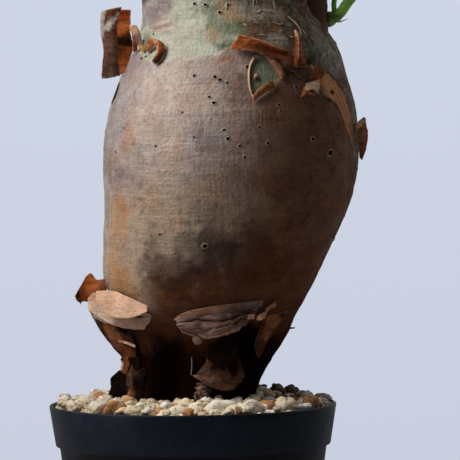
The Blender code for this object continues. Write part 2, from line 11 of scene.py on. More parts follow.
import bmesh
import bpy
from mathutils import Matrix, Vector, noise


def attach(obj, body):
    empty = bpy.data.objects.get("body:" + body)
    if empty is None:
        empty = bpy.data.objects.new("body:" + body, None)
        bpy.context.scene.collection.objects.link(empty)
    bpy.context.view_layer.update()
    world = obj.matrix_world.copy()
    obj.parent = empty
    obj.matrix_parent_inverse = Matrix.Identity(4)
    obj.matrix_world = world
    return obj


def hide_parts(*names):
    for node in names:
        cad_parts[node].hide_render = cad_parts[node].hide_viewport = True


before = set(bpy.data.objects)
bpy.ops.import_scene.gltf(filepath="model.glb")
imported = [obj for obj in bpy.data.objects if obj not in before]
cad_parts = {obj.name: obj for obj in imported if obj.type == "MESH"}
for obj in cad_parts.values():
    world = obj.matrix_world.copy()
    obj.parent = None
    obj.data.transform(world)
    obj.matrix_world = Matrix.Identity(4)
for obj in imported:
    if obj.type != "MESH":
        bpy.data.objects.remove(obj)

MM = 0.001

# Pot, as in the solids
POT_HEIGHT = 110.0
POT_RIM_RADIUS = 60.0
POT_FOOT_RADIUS = 44.0
POT_BAND_HEIGHT = 17.0
POT_BAND_STEP = 1.7
POT_WALL = 1.6
POT_FLOOR = 2.2
POT_SIDES = 160
DRAIN_HOLES = 6
DRAIN_RADIUS = 4.5
DRAIN_CIRCLE = 27.0
DRAIN_SIDES = 24
POT_SHARP_ANGLE = 50

# Pumice: a bed, dark as painted shade in the gaps between stones, and loose stones whose tops stay below a
# limit
BED_TOP = 107.2
BED_SIDES = 96
BED_HOLE_RADIUS = 20.0
STONE_FLOOR = 108.0
STONE_TOP_LIMIT = 116.6

# Trunk outline seen from the front: height, left edge, right edge
TRUNK_OUTLINE = [
    (56, -9, 9), (80, -20, 17), (104, -27, 24), (115, -27, 26.5), (130, -25.5, 34.8), (146, -29, 42.8),
    (154, -33, 47.2), (163, -36.5, 52), (176, -36.4, 58.2), (193, -35.4, 66), (212, -36, 70.2),
    (230, -34, 69.7), (247, -28, 65.8), (260, -21.8, 61.3), (267, -20.3, 56.5), (274, -19.5, 50.5),
    (286, -18.5, 47), (296, -14, 42.5), (303, -4, 33), (306, 7, 22),
]
TRUNK_DEPTH_RATIO = 0.93
TRUNK_SWELL = 0.8
TRUNK_SWELL_TWIST = 0.045
FURROW_BOTTOM = 104.0
FURROW_TOP = 152.0
FURROW_DEPTH = 0.08
FURROW_RISE = 12.0
FURROW_FADE = 26.0
FURROW_LOBES = 6
FURROW_PHASE = 0.84
LEG_LOBES = 3
LEG_PHASE = 1.99
LEG_SHARE = 0.6

# Trunk mesh: rows up the trunk as (from, to, pitch), and columns on its front and back half
ROW_BANDS = ((56, 104, 8.0), (104, 264, 0.72), (264, 296, 0.9), (296, 305.9, 0.8))
FRONT_COLUMNS = 205
BACK_COLUMNS = 110
SMOOTH_BELOW = 100.0

# Short arms on the crown: foot, tip, and radii at the foot and the tip
ARMS = {
    "left": ((0, 0, 286), (-15, -5, 344), 19.0, 13.5),
    "right": ((27, 6, 286), (41, 15, 335), 18.0, 12.5),
    "stub": ((46.5, 8, 258), (50, 10, 302), 10.6, 9.0),
}
ARM_SIDES = 56
ARM_ROWS = 46
ARM_CAP_START = 0.985
ARM_CAP_RADII = (0.82, 0.5, 0.12)

# Where the brown outer bark ends: height of its upper edge at each angle
BARK_TOP = [
    (0, 196), (20, 200), (40, 214), (60, 232), (80, 246), (100, 252), (125, 250), (150, 256), (175, 259),
    (192, 259), (206, 256), (220, 252.6), (232, 253.1), (247, 254.1), (257, 255.7), (267, 258), (280, 257.5),
    (292, 255.5), (302, 251), (308, 250), (312, 247), (314, 241), (316.9, 238), (320.6, 236.9),
    (325.9, 234.6), (328.5, 231.5), (329.8, 227.6), (332, 224.2), (335, 221), (338, 218),
    (343, 211), (349, 202), (360, 196),
]
BARK_LAYER = 0.45
# Width of the ochre band along that edge, and the knot in it
OCHRE_WIDTH = [
    (310, 0), (312, 3.5), (314, 6.5), (316.4, 9), (320.6, 10.6), (325.9, 12.2), (328.5, 14.5), (330, 17.3),
    (332, 18.6), (335, 19.5), (337.2, 20), (339.4, 12), (341.4, 0),
]
OCHRE_KNOT = (325.2, 239.6, 1.9, 1.1)
# Corners of the peeled window, as (angle, height), and its middle
WINDOW = [
    (279.2, 254.2), (277.3, 250), (276.9, 246), (277.6, 240.4), (279.6, 237.2),
    (284, 239.6), (289, 243.6), (292.6, 244.8), (289.6, 250), (285.6, 254.8),
]
WINDOW_MIDDLE = (284, 246)
WINDOW_REACH = 14
WINDOW_DEPTH = 0.9
MM_PER_DEGREE = 0.83

# Camera as the photograph was taken, and the photograph's scale
CAMERA_PLACE = (16.3, -1500.0, 236.0)
CAMERA_AIM = (16.3, 0.0, 182.5)
CAMERA_ROLL = -0.6
SENSOR = 36.0
PHOTO_SIDE = 460
PIXELS_PER_MM = 2.392


def linear(colour):
    """An sRGB colour of 0 to 255 as linear light."""
    shares = [value / 255 for value in colour]
    return tuple(s / 12.92 if s <= 0.04045 else ((s + 0.055) / 1.055) ** 2.4 for s in shares)


def palette(**tones):
    return {name: linear(tone) for name, tone in tones.items()}


# root is the dark of old roots and cracks, and also serves as painted shade at the trunk's foot and along the
# ochre band's edges; base darkens the foot partly as painted shade; the near-black cavern tone is painted
# shade only
SKIN = palette(
    pink=(187, 174, 168), beige=(188, 165, 143), grey=(166, 158, 158), tan=(196, 148, 98),
    brown=(136, 98, 76), umber=(116, 72, 48), soot=(70, 54, 50), base=(96, 60, 42), root=(24, 13, 9),
    cavern=(10, 6, 5), green=(178, 188, 168), moss=(104, 118, 84), slate=(128, 118, 100),
    mauve=(150, 134, 136), blush=(206, 186, 173), ochre=(255, 160, 30), rust=(176, 96, 44),
    bone=(204, 193, 178),
)


def clamp(x):
    return min(max(x, 0.0), 1.0)


def ease(x):
    """Smooth step from 0 to 1."""
    x = clamp(x)
    return x * x * (3 - 2 * x)


def mix(a, b, share):
    share = clamp(share)
    return tuple(p + (q - p) * share for p, q in zip(a, b))


def scale(colour, factor):
    return tuple(value * factor for value in colour)


def wave(x, y, z):
    """Smooth noise of about -1 to 1."""
    return noise.noise(Vector((x, y, z)))


def fuzz(point, frequency, octaves=3):
    """Noise of roughly -1 to 1, with its coarsest bumps about 1/frequency millimetres apart."""
    total, weight, reach = 0.0, 1.0, 0.0
    place = point * frequency
    for _ in range(octaves):
        total += noise.noise(place) * weight
        reach += weight
        weight *= 0.55
        place = place * 2.03
    return total / reach * 1.6


def along_knots(knots, x):
    """Height at x of the soft steps that lead from knot to knot."""
    if x <= knots[0][0]:
        return knots[0][1]
    for (x0, y0), (x1, y1) in zip(knots, knots[1:]):
        if x <= x1:
            return y0 + (y1 - y0) * ease((x - x0) / (x1 - x0))
    return knots[-1][1]


def angle_gap(a, b):
    return (a - b + 180) % 360 - 180


def cubic(start, slope_in, end, slope_out, t):
    """A value between start and end, which leaves the one and meets the other with the given slopes."""
    return (
        start * (2 * t**3 - 3 * t**2 + 1)
        + slope_in * (t**3 - 2 * t**2 + t)
        + end * (3 * t**2 - 2 * t**3)
        + slope_out * (t**3 - t**2)
    )


def curve_at(points, share):
    """The point at a share of the smooth curve through the given ones."""
    last = len(points) - 1
    place = clamp(share) * last
    i = min(int(place), last - 1)
    start, end = points[i], points[i + 1]
    slope_in = (end - points[max(i - 1, 0)]) * 0.5
    slope_out = (points[min(i + 2, last)] - start) * 0.5
    return cubic(start, slope_in, end, slope_out, place - i)


def steps(count):
    """Shares from 0 to 1 in so many equal steps."""
    return [i / count for i in range(count + 1)]


def circle(sides):
    """Cosine and sine of so many equal turns."""
    turns = [2 * math.pi * k / sides for k in range(sides)]
    return [(math.cos(turn), math.sin(turn)) for turn in turns]


# Materials


def feed(tree, socket, given):
    """Links a socket to a given one, or sets it to a given value."""
    if isinstance(given, bpy.types.NodeSocket):
        tree.links.new(given, socket)
    else:
        socket.default_value = given


def add_node(tree, kind, inputs=(), **settings):
    node = tree.nodes.new("ShaderNode" + kind)
    for name, value in settings.items():
        setattr(node, name, value)
    for name, given in dict(inputs).items():
        feed(tree, node.inputs[name], given)
    return node


def texture_place(tree, stretch=(1, 1, 1)):
    """Place in millimetres, stretched along the axes, for a texture's vector."""
    place = add_node(tree, "TexCoord").outputs["Object"]
    scaled = add_node(tree, "Mapping", {"Vector": place, "Scale": [1000 * s for s in stretch]})
    return scaled.outputs["Vector"]


def grain(tree, frequency, detail=3.0, stretch=(1, 1, 1), roughness=0.55):
    """Noise of 0 to 1 with so many bumps to the millimetre."""
    inputs = {"Scale": frequency, "Detail": detail, "Roughness": roughness}
    inputs["Vector"] = texture_place(tree, stretch)
    return add_node(tree, "TexNoise", inputs).outputs["Fac"]


def remap(tree, value, low, high, new_low=0.0, new_high=1.0):
    inputs = {"Value": value, "From Min": low, "From Max": high, "To Min": new_low, "To Max": new_high}
    return add_node(tree, "MapRange", inputs).outputs["Result"]


def blend(tree, share, first, second, mode="MIX"):
    """Mixes two colours, each a socket or a colour."""
    node = add_node(tree, "Mix", data_type="RGBA", blend_type=mode)
    sockets = [s for s in node.inputs if s.enabled]
    for socket, given in zip(sockets, (share, first, second)):
        feed(tree, socket, (*given, 1.0) if isinstance(given, tuple) else given)
    return [s for s in node.outputs if s.enabled][0]


def stain(tree, colour, pattern, low, high, strength, tint):
    """A colour darkened by a tint where a pattern rises from low to high."""
    return blend(tree, remap(tree, pattern, low, high, 0.0, strength), colour, tint, "MULTIPLY")


def start_material(name, roughness, specular):
    material = bpy.data.materials.new(name)
    material.use_nodes = True
    tree = material.node_tree
    shader = tree.nodes["Principled BSDF"]
    shader.inputs["Roughness"].default_value = roughness
    shader.inputs["Specular IOR Level"].default_value = specular
    return material, tree, shader


def feed_shader(tree, shader, colour, roughness, layers):
    """Links colour, roughness, and bump from layers of (height socket, depth in millimetres)."""
    feed(tree, shader.inputs["Base Color"], colour)
    feed(tree, shader.inputs["Roughness"], roughness)
    normal = {}
    for height, depth in layers:
        inputs = {"Strength": 1.0, "Distance": depth * MM, "Height": height, **normal}
        normal = {"Normal": add_node(tree, "Bump", inputs).outputs["Normal"]}
    feed(tree, shader.inputs["Normal"], normal["Normal"])


def tone_socket(tree):
    return add_node(tree, "Attribute", attribute_name="tone").outputs["Color"]


def dull_where_dark(tree, shader, sound):
    """Dark bark, much of it dark as painted shade, is rough and hardly gleams. Sound pale bark is as rough as
    the given socket says.
    """
    gleam = remap(tree, tone_socket(tree), 0.05, 0.25, 0.0, 0.32)
    feed(tree, shader.inputs["Specular IOR Level"], gleam)
    return remap(tree, tone_socket(tree), 0.05, 0.25, 1.0, sound)


def skin_material():
    """Thin satin bark: fine level wrinkles crossed by faint upright ones, finely mottled."""
    material, tree, shader = start_material("trunk_skin", 0.5, 0.2)
    level = grain(tree, 1.0, 4, (0.12, 0.12, 0.95))
    upright = grain(tree, 1.0, 3, (0.75, 0.75, 0.1))
    fleck = grain(tree, 0.75, 5)
    cloud = grain(tree, 0.1, 6, (1, 1, 1), 0.65)
    colour = stain(tree, tone_socket(tree), level, 0.42, 0.74, 0.3, (0.46, 0.37, 0.3))
    colour = stain(tree, colour, fleck, 0.5, 0.74, 0.6, (0.46, 0.37, 0.3))
    colour = stain(tree, colour, cloud, 0.42, 0.66, 0.55, (0.6, 0.5, 0.43))
    colour = stain(tree, colour, upright, 0.55, 0.8, 0.4, (0.5, 0.4, 0.34))
    roughness = dull_where_dark(tree, shader, remap(tree, cloud, 0.35, 0.65, 0.46, 0.66))
    feed_shader(tree, shader, colour, roughness, [(level, 0.3), (upright, 0.3), (fleck, 0.35)])
    return material


def bark_material():
    """Dry papery bark with fine fibres and cracks."""
    material, tree, shader = start_material("dead_bark", 0.6, 0.14)
    fibre = grain(tree, 1.0, 4, (0.35, 0.35, 1.8))
    fleck = grain(tree, 1.3, 5)
    colour = stain(tree, tone_socket(tree), fibre, 0.4, 0.75, 0.45, (0.35, 0.26, 0.2))
    colour = stain(tree, colour, fleck, 0.5, 0.8, 0.45, (0.4, 0.3, 0.22))
    roughness = dull_where_dark(tree, shader, remap(tree, fleck, 0.3, 0.7, 0.48, 0.72))
    feed_shader(tree, shader, colour, roughness, [(fibre, 0.25), (fleck, 0.2)])
    return material


def stone_material():
    """Porous pumice: dull, with small pores in patches, painted dark as the shade in their hollows."""
    material, tree, shader = start_material("pumice", 0.9, 0.2)
    cells = add_node(tree, "TexVoronoi", {"Scale": 0.9, "Randomness": 1.0, "Vector": texture_place(tree)})
    hole = remap(tree, cells.outputs["Distance"], 0.16, 0.34, 1.0, 0.0)
    patchy = remap(tree, grain(tree, 0.35, 2), 0.42, 0.6)
    pore = add_node(tree, "Math", {0: hole, 1: patchy}, operation="MULTIPLY").outputs["Value"]
    dust = grain(tree, 1.4, 5)
    colour = stain(tree, tone_socket(tree), dust, 0.45, 0.78, 0.4, (0.6, 0.48, 0.36))
    # Pores painted near black: painted shade inside their hollows
    colour = blend(tree, pore, colour, (0.06, 0.045, 0.035))
    roughness = remap(tree, dust, 0.3, 0.7, 0.82, 0.98)
    feed_shader(tree, shader, colour, roughness, [(remap(tree, pore, 0, 1, 1, 0), 0.35), (dust, 0.3)])
    return material


def pot_material():
    """Matte black moulded plastic, worn bare and dust-marked in places, with a paler band over a body
    darkened as painted shade.
    """
    material, tree, shader = start_material("pot_plastic", 0.48, 0.15)
    pebble = grain(tree, 2.4, 3)
    scuffs = grain(tree, 0.5, 5, (0.3, 0.3, 2.6))
    dust = grain(tree, 0.07, 5)
    height = add_node(tree, "SeparateXYZ", {"Vector": texture_place(tree)}).outputs["Z"]
    band = remap(tree, height, 92.0, 94.0)
    # The body below the band is darker than the band, clean or dusted: painted shade under the band's lip
    rubbed_with_shaded_body = blend(tree, band, linear((6, 7, 10)), linear((23, 28, 39)))
    dusty_with_shaded_body = blend(tree, band, linear((13, 14, 19)), linear((42, 50, 66)))
    colour = blend(tree, remap(tree, dust, 0.45, 0.75, 0.0, 0.6), rubbed_with_shaded_body, dusty_with_shaded_body)
    colour = blend(tree, remap(tree, scuffs, 0.66, 0.78, 0.0, 0.5), colour, linear((60, 61, 65)))
    roughness = remap(tree, dust, 0.3, 0.7, 0.44, 0.6)
    feed_shader(tree, shader, colour, roughness, [(pebble, 0.05), (scuffs, 0.06)])
    return material


def soil_material():
    """Crumbly potting mix with pale grains."""
    material, tree, shader = start_material("potting_mix", 0.95, 0.15)
    crumb = grain(tree, 0.5, 6)
    speck = remap(tree, grain(tree, 0.9, 2), 0.66, 0.72, 0.0, 0.8)
    colour = blend(tree, crumb, linear((44, 32, 24)), linear((96, 74, 56)))
    colour = blend(tree, speck, colour, linear((186, 172, 146)))
    feed_shader(tree, shader, colour, remap(tree, crumb, 0.3, 0.7, 0.88, 1.0), [(crumb, 1.2)])
    return material


def leaf_material():
    """Fleshy leaf with a waxy bloom."""
    material, tree, shader = start_material("leaf_green", 0.42, 0.4)
    bloom = grain(tree, 0.12, 4)
    cells = grain(tree, 1.8, 3)
    waxy = remap(tree, bloom, 0.45, 0.8, 0.0, 0.35)
    colour = blend(tree, waxy, tone_socket(tree), linear((158, 190, 146)))
    colour = stain(tree, colour, cells, 0.5, 0.8, 0.25, (0.6, 0.75, 0.5))
    for name, value in (("Weight", 0.5), ("Radius", (0.4, 0.9, 0.2)), ("Scale", 0.004)):
        shader.inputs["Subsurface " + name].default_value = value
    roughness = remap(tree, bloom, 0.3, 0.7, 0.36, 0.55)
    feed_shader(tree, shader, colour, roughness, [(cells, 0.08), (bloom, 0.4)])
    return material


# Trunk formulas, as in the solids


def trunk_edges(height):
    """Left and right edge of the trunk at a height, on a smooth curve through the outline."""
    rows = TRUNK_OUTLINE
    last = len(rows) - 1
    i = 0
    while i < last - 1 and height > rows[i + 1][0]:
        i += 1

    def slope(k, column):
        low, high = max(k - 1, 0), min(k + 1, last)
        return (rows[high][column] - rows[low][column]) / (rows[high][0] - rows[low][0])

    start, end = rows[i], rows[i + 1]
    span = end[0] - start[0]
    t = clamp((height - start[0]) / span)
    return [cubic(start[c], slope(i, c) * span, end[c], slope(i + 1, c) * span, t) for c in (1, 2)]


def furrow(angle, height):
    """Factor on the trunk's radius: folds between the roots, fading out at the bark's overhang."""
    rise = ease((height - FURROW_BOTTOM) / FURROW_RISE)
    fade = ease((FURROW_TOP - height) / FURROW_FADE)
    turn = math.radians(angle)
    wave = math.cos(FURROW_LOBES * turn + FURROW_PHASE)
    wave += LEG_SHARE * math.cos(LEG_LOBES * turn + LEG_PHASE)
    return 1 - FURROW_DEPTH * rise * fade * (1 - wave) * 0.5


def bark_point(angle, height, lift=0.0, edges=None):
    """A point on the plain trunk, or so far off it."""
    left, right = edges or trunk_edges(height)
    turn = math.radians(angle)
    half = (right - left) / 2 * furrow(angle, height)
    swell = TRUNK_SWELL * math.sin(turn) ** 2 * math.sin(3 * turn + height * TRUNK_SWELL_TWIST)
    across = half + swell + lift
    deep = half * TRUNK_DEPTH_RATIO + swell + lift
    return Vector(((left + right) / 2 + across * math.cos(turn), deep * math.sin(turn), height))


# The living skin: its relief and its colour zones


def window_depth(angle, height):
    """How deep inside the peeled window a place lies, in millimetres, or below 0 outside it."""
    middle_angle, middle_height = WINDOW_MIDDLE
    if abs(angle_gap(angle, middle_angle)) > WINDOW_REACH or abs(height - middle_height) > WINDOW_REACH:
        return -9.0
    x, y = angle * MM_PER_DEGREE, height
    inside, nearest = False, 1e9
    for (a0, h0), (a1, h1) in zip(WINDOW, WINDOW[1:] + WINDOW[:1]):
        x0, x1 = a0 * MM_PER_DEGREE, a1 * MM_PER_DEGREE
        if (h0 > y) != (h1 > y) and x < x0 + (x1 - x0) * (y - h0) / (h1 - h0):
            inside = not inside
        run_x, run_y = x1 - x0, h1 - h0
        t = clamp(((x - x0) * run_x + (y - h0) * run_y) / (run_x**2 + run_y**2))
        nearest = min(nearest, math.hypot(x - x0 - run_x * t, y - h0 - run_y * t))
    return nearest if inside else -nearest


def above_bark(angle, height, point):
    """Height above the outer bark's ragged upper edge."""
    return height - along_knots(BARK_TOP, angle % 360) + fuzz(point, 0.16, 3) * 1.3


def skin_lift(angle, height, point):
    """The living skin's relief on the plain trunk."""
    inside = window_depth(angle, height)
    bare = max(ease(above_bark(angle, height, point) / 0.9 + 0.5), ease(inside / 0.5 + 0.5))
    layer = BARK_LAYER * (1 - bare) - (WINDOW_DEPTH - BARK_LAYER) * ease(inside / 0.6 + 0.4)
    low = ease((150 - height) / 22)
    flutes = wave(point.x * 0.16, point.y * 0.16, height * 0.03) * 1.5
    flutes += fuzz(point, 0.28, 3) * 0.25
    ripple = fuzz(Vector((point.x * 0.2, point.y * 0.2, height)), 0.3, 3) * 0.16
    rough_top = ease((height - 258) / 12) * fuzz(point, 0.3, 4) * 0.35
    return layer + fuzz(point, 0.05, 2) * 0.45 + ripple + rough_top + low * flutes


# Colour patches on the bark: tone, angle, height, width in degrees, height of the patch, strength
PATCHES = [
    ("soot", 256, 178, 13, 6, 0.45), ("soot", 262, 191, 8, 5, 0.25), ("soot", 245, 168, 17, 7, 0.6),
    ("soot", 236, 181, 5, 4, 0.3), ("soot", 268, 176, 12, 9, 0.55), ("soot", 284, 172, 18, 9, 0.5),
    ("soot", 238, 176, 7, 4, 0.3), ("umber", 300, 160, 26, 14, 0.6), ("tan", 208, 182, 13, 16, 0.6),
    ("tan", 216, 163, 13, 8, 0.85), ("rust", 212, 190, 6, 5, 0.2), ("mauve", 222, 176, 6, 8, 0.5),
    ("mauve", 206, 207, 7, 8, 0.45), ("rust", 216, 222, 5, 6, 0.3), ("rust", 203, 215, 3, 7, 0.35),
    ("rust", 204.5, 245, 2.2, 2.6, 0.9), ("rust", 184, 233, 3, 6, 0.7), ("rust", 257, 255, 3, 0.8, 0.8),
    ("rust", 266, 253.4, 5, 1.4, 0.45), ("umber", 276, 262, 8, 3, 0.5), ("slate", 196, 236, 9, 24, 0.6),
    ("mauve", 199, 252, 8, 9, 0.5), ("blush", 236, 236, 20, 13, 0.75), ("mauve", 204, 250, 17, 8, 0.35),
    ("grey", 203, 232, 10, 12, 0.75), ("blush", 232, 240, 7, 8, 0.5), ("mauve", 253, 249, 9, 6, 0.55),
    ("blush", 246, 212, 16, 10, 0.25), ("beige", 250, 250, 14, 4, 0.3),
]
# Near-black patches low on the front: painted shade in the hollows under the overhanging bark
CAVERN_SHADE_PATCHES = [("cavern", 291, 136, 20, 9, 0.9), ("cavern", 238, 122, 12, 14, 0.7)]
TOP_PATCHES = [
    ("mauve", 202, 275, 15, 9, 0.95), ("mauve", 222, 277, 9, 5, 0.9), ("moss", 262, 267, 7, 6, 0.55),
    ("moss", 258, 274, 5, 4, 0.4), ("moss", 270, 259.5, 14, 2.4, 0.75), ("moss", 292, 259.5, 9, 2.4, 0.5),
    ("tan", 272, 272, 7, 5, 0.6), ("umber", 282, 266, 9, 5, 0.5), ("tan", 258, 263, 6, 3, 0.5),
    ("bone", 240, 262, 14, 8, 0.35), ("moss", 271, 266, 6, 4, 0.6), ("bone", 285, 273.5, 9, 4, 0.55),
    ("bone", 303, 274, 6, 4, 0.35), ("bone", 330, 257, 12, 9, 0.2), ("soot", 312, 265, 10, 5, 0.3),
    ("moss", 250, 261.6, 9, 3, 0.25), ("moss", 265, 260.4, 5, 3, 0.35), ("bone", 293, 261, 6, 2.4, 0.5),
]
BLUSH_SCAR = (222, 267.6, 11.5, 3.5)


def toned(tone, name, share):
    # The bed shows only between the stones: its dark tone is painted shade in those gaps
    return mix(tone, SKIN[name], share)


def patched(tone, patches, angle, height, wobble):
    for name, middle, level, wide, tall, strength in patches:
        gap = angle_gap(angle, middle) / wide
        rise = (height - level) / tall
        reach = gap * gap + rise * rise
        if reach < 4:
            tone = toned(tone, name, strength * ease(1.35 - reach * 0.75 + wobble * 0.9))
    return tone


def mottled(tone, point, strength):
    """Warm and dusky blotches with ragged edges."""
    blotch = fuzz(point + Vector((40, 7, 0)), 0.075, 5)
    tone = mix(tone, toned(tone, "tan", 0.5), ease(blotch * 3.2 - 0.4) * strength)
    tone = mix(tone, toned(tone, "mauve", 0.6), ease(-blotch * 3.2 - 0.3) * strength)
    speck = fuzz(point, 0.33, 3)
    return scale(tone, 1 - 0.3 * ease(speck * 2.5 - 0.5) + 0.1 * ease(-speck * 2.5 - 0.5))


def outer_tone(angle, height, point, wobble):
    """Colour of the brown outer bark: pink and pale on the left, brown to the right, dark at the base, partly
    as painted shade.
    """
    if angle >= 180:
        right = ease((angle - 246 + wobble * 12) / 52)
    else:
        right = 1 - ease((angle - 40 + wobble * 12) / 90)
    tone = mix(SKIN["pink"], SKIN["beige"], ease((225 - height) / 30 + wobble * 0.4))
    tone = toned(tone, "brown", right)
    tone = toned(tone, "umber", right * ease((232 - height) / 60) * 0.6)
    edge_grey = ease((232 - angle) / 30) if angle > 150 else ease((angle - 120) / 40)
    edge_grey *= 0.4 + 0.5 * ease((height - 215) / 25)
    tone = toned(tone, "grey", edge_grey * ease((height - 165) / 20))
    tone = toned(tone, "umber", ease((178 - height + wobble * 9) / 16) * ease(angle_gap(angle, 226) / 18))
    tone = mottled(tone, point, 0.5 * (1 - right * 0.6))
    tone = patched(tone, PATCHES, angle, height, wobble * 1.7 + fuzz(point, 0.28, 3) * 0.5)
    # Darker below the overhanging bark and near black at the foot: partly dark root skin, partly painted
    # shade
    tone = toned(tone, "base", ease((160 - height + wobble * 7) / 14))
    tone = toned(tone, "root", ease((146 - height + wobble * 9) / 16) * 0.96)
    # Near-black patches in the hollows under the overhang: painted shade
    return patched(tone, CAVERN_SHADE_PATCHES, angle, height, wobble)


def inner_tone(angle, height, point, wobble):
    """Colour of the younger skin above the outer bark: pale green in front, slate brown to the right."""
    fine = fuzz(point, 0.5, 3)
    tone = mix(SKIN["green"], SKIN["bone"], clamp(0.25 + fine * 0.6))
    right = ease((angle - 262 + wobble * 14) / 26) if angle > 180 else 1 - ease((angle - 110) / 60)
    worn = mix(SKIN["slate"], SKIN["brown"], clamp(0.45 + wobble * 1.1 + fuzz(point, 0.18, 3) * 0.9))
    worn = toned(worn, "moss", ease(fine * 1.4) * 0.4)
    tone = mix(tone, worn, right)
    tone = scale(tone, 1 - 0.35 * ease(fuzz(point, 0.22, 4) * 2.6) * right)
    crack = ease(1 - abs(fuzz(Vector((point.x, point.y, point.z * 1.6)), 0.2, 3)) * 11)
    tone = toned(tone, "root", crack * right * 0.55)
    flake = ease(fuzz(point + Vector((9, 4, 60)), 0.42, 3) * 3.4 - 1.1)
    tone = toned(tone, "bone", flake * right * 0.35)
    tone = patched(tone, TOP_PATCHES, angle, height, wobble * 1.5 + fine * 0.5)
    middle, level, wide, tall = BLUSH_SCAR
    reach = (angle_gap(angle, middle) / wide) ** 2 + ((height - level) / tall) ** 2
    stripes = 0.5 + 0.5 * math.sin(height * 5.2 + angle * 0.22)
    torn = ease(1.5 - reach - abs(wobble + fine) * 0.9)
    tone = mix(tone, mix(SKIN["blush"], SKIN["umber"], stripes * 0.75), torn * 0.9)
    return toned(tone, "umber", ease((height - 276 + wobble * 6) / 14) * 0.35)


def window_tone(tone, angle, inside, wobble):
    """Green film inside the peeled window, and a pale line along its left edge: the cut bark's own pale edge,
    partly painted light on it.
    """
    film = mix(SKIN["green"], SKIN["moss"], clamp(0.4 + wobble * 0.9))
    tone = mix(tone, scale(film, 0.85), ease(inside / 0.5 + 0.3))
    # Pale line along the window's left edge: partly the cut bark's own colour, partly painted light
    return toned(tone, "bone", ease(1 - abs(inside + 0.4) / 0.7) * ease((283 - angle) / 3) * 0.8)


def ochre_tone(tone, angle, height, point, wobble, above, width):
    """The ochre band, dull in places, with its knot, and dark edges that are painted shade."""
    share = above / width
    band = ease(share * 6) * ease((1.1 - share) * 5)
    ochre = toned(SKIN["ochre"], "rust", clamp(wobble * 1.1 + fuzz(point, 0.3, 3) * 0.8) * 0.8)
    ochre = toned(ochre, "umber", ease((322 - angle) / 8) * ease((0.75 - share) / 0.4) * 0.75)
    ochre = toned(ochre, "rust", ease((angle - 331) / 9) * 0.6)
    knot_angle, knot_height, wide, tall = OCHRE_KNOT
    knot = math.hypot((angle - knot_angle) / wide, (height - knot_height) / tall)
    ochre = scale(toned(ochre, "root", ease(1.5 - knot) * 0.9), 0.72 + 0.2 * ease((share - 0.5) / 0.3))
    tone = mix(tone, ochre, band * clamp(0.95 + wobble * 0.3))
    # Dark lines along both edges of the band: painted shade along its rims
    edge = max(ease(1 - abs(above + 0.4) / 1.3), ease(1 - abs(above - width - 1) / 1.2) * 0.8)
    return toned(tone, "root", edge * 0.75)


def skin_tone(angle, height, point):
    wobble = fuzz(point, 0.07, 4)
    above = above_bark(angle, height, point)
    tone = outer_tone(angle, height, point, wobble)
    tone = mix(tone, inner_tone(angle, height, point, wobble), ease(above / 1.2 + 0.5))
    inside = window_depth(angle, height)
    if inside > -1.5:
        tone = window_tone(tone, angle, inside, wobble)
    width = along_knots(OCHRE_WIDTH, angle) if 300 < angle < 350 else 0
    if width > 0.2:
        tone = ochre_tone(tone, angle, height, point, wobble, above, width)
    return tone


def skin_point(angle, height, lift=0.0, edges=None):
    """A point on the finished skin, or so far off it."""
    plain = bark_point(angle, height, 0.0, edges)
    return bark_point(angle, height, skin_lift(angle, height, plain) + lift, edges)


def skin_frame(angle, height):
    """Place, outward normal, level direction and upward direction on the finished skin."""
    here = skin_point(angle, height)
    level = (bark_point(angle + 1.5, height) - bark_point(angle - 1.5, height)).normalized()
    upward = (bark_point(angle, height + 1) - bark_point(angle, height - 1)).normalized()
    return here, level.cross(upward).normalized(), level, upward


# Meshes


def new_mesh(name, points, faces):
    """A mesh from points in millimetres."""
    mesh = bpy.data.meshes.new(name)
    mesh.from_pydata([point * MM for point in points], [], faces)
    return mesh


def new_object(name, data):
    obj = bpy.data.objects.new(name, data)
    bpy.context.scene.collection.objects.link(obj)
    return obj


class Build:
    """Points, faces and tones that grow shape by shape into one piece."""

    def __init__(self):
        self.points, self.faces, self.tones = [], [], []

    def add(self, points, faces, tones):
        first = len(self.points)
        self.points += points
        self.tones += tones
        self.faces += [tuple(first + i for i in face) for face in faces]

    def piece(self, name, material, slot, fix_normals=True):
        """Makes the piece, with a colour at each point where the shapes have tones."""
        mesh = new_mesh(name, self.points, self.faces)
        if self.tones:
            layer = mesh.color_attributes.new("tone", "FLOAT_COLOR", "POINT")
            layer.data.foreach_set("color", [value for tone in self.tones for value in (*tone, 1.0)])
        if fix_normals:
            shell = bmesh.new()
            shell.from_mesh(mesh)
            bmesh.ops.recalc_face_normals(shell, faces=shell.faces[:])
            shell.to_mesh(mesh)
            shell.free()
        mesh.shade_smooth()
        mesh.materials.append(material)
        obj = new_object(name, mesh)
        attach(obj, "root")
        return obj


def ring_faces(rows, sides, closed_start=True, closed_end=True):
    """Faces of a stack of rings, with flat faces over its ends where they are closed."""
    faces = []
    for low in range(0, (rows - 1) * sides, sides):
        high = low + sides
        for i in range(sides):
            j = (i + 1) % sides
            faces.append((low + i, low + j, high + j, high + i))
    if closed_start:
        faces.append(tuple(reversed(range(sides))))
    if closed_end:
        faces.append(tuple(range((rows - 1) * sides, rows * sides)))
    return faces


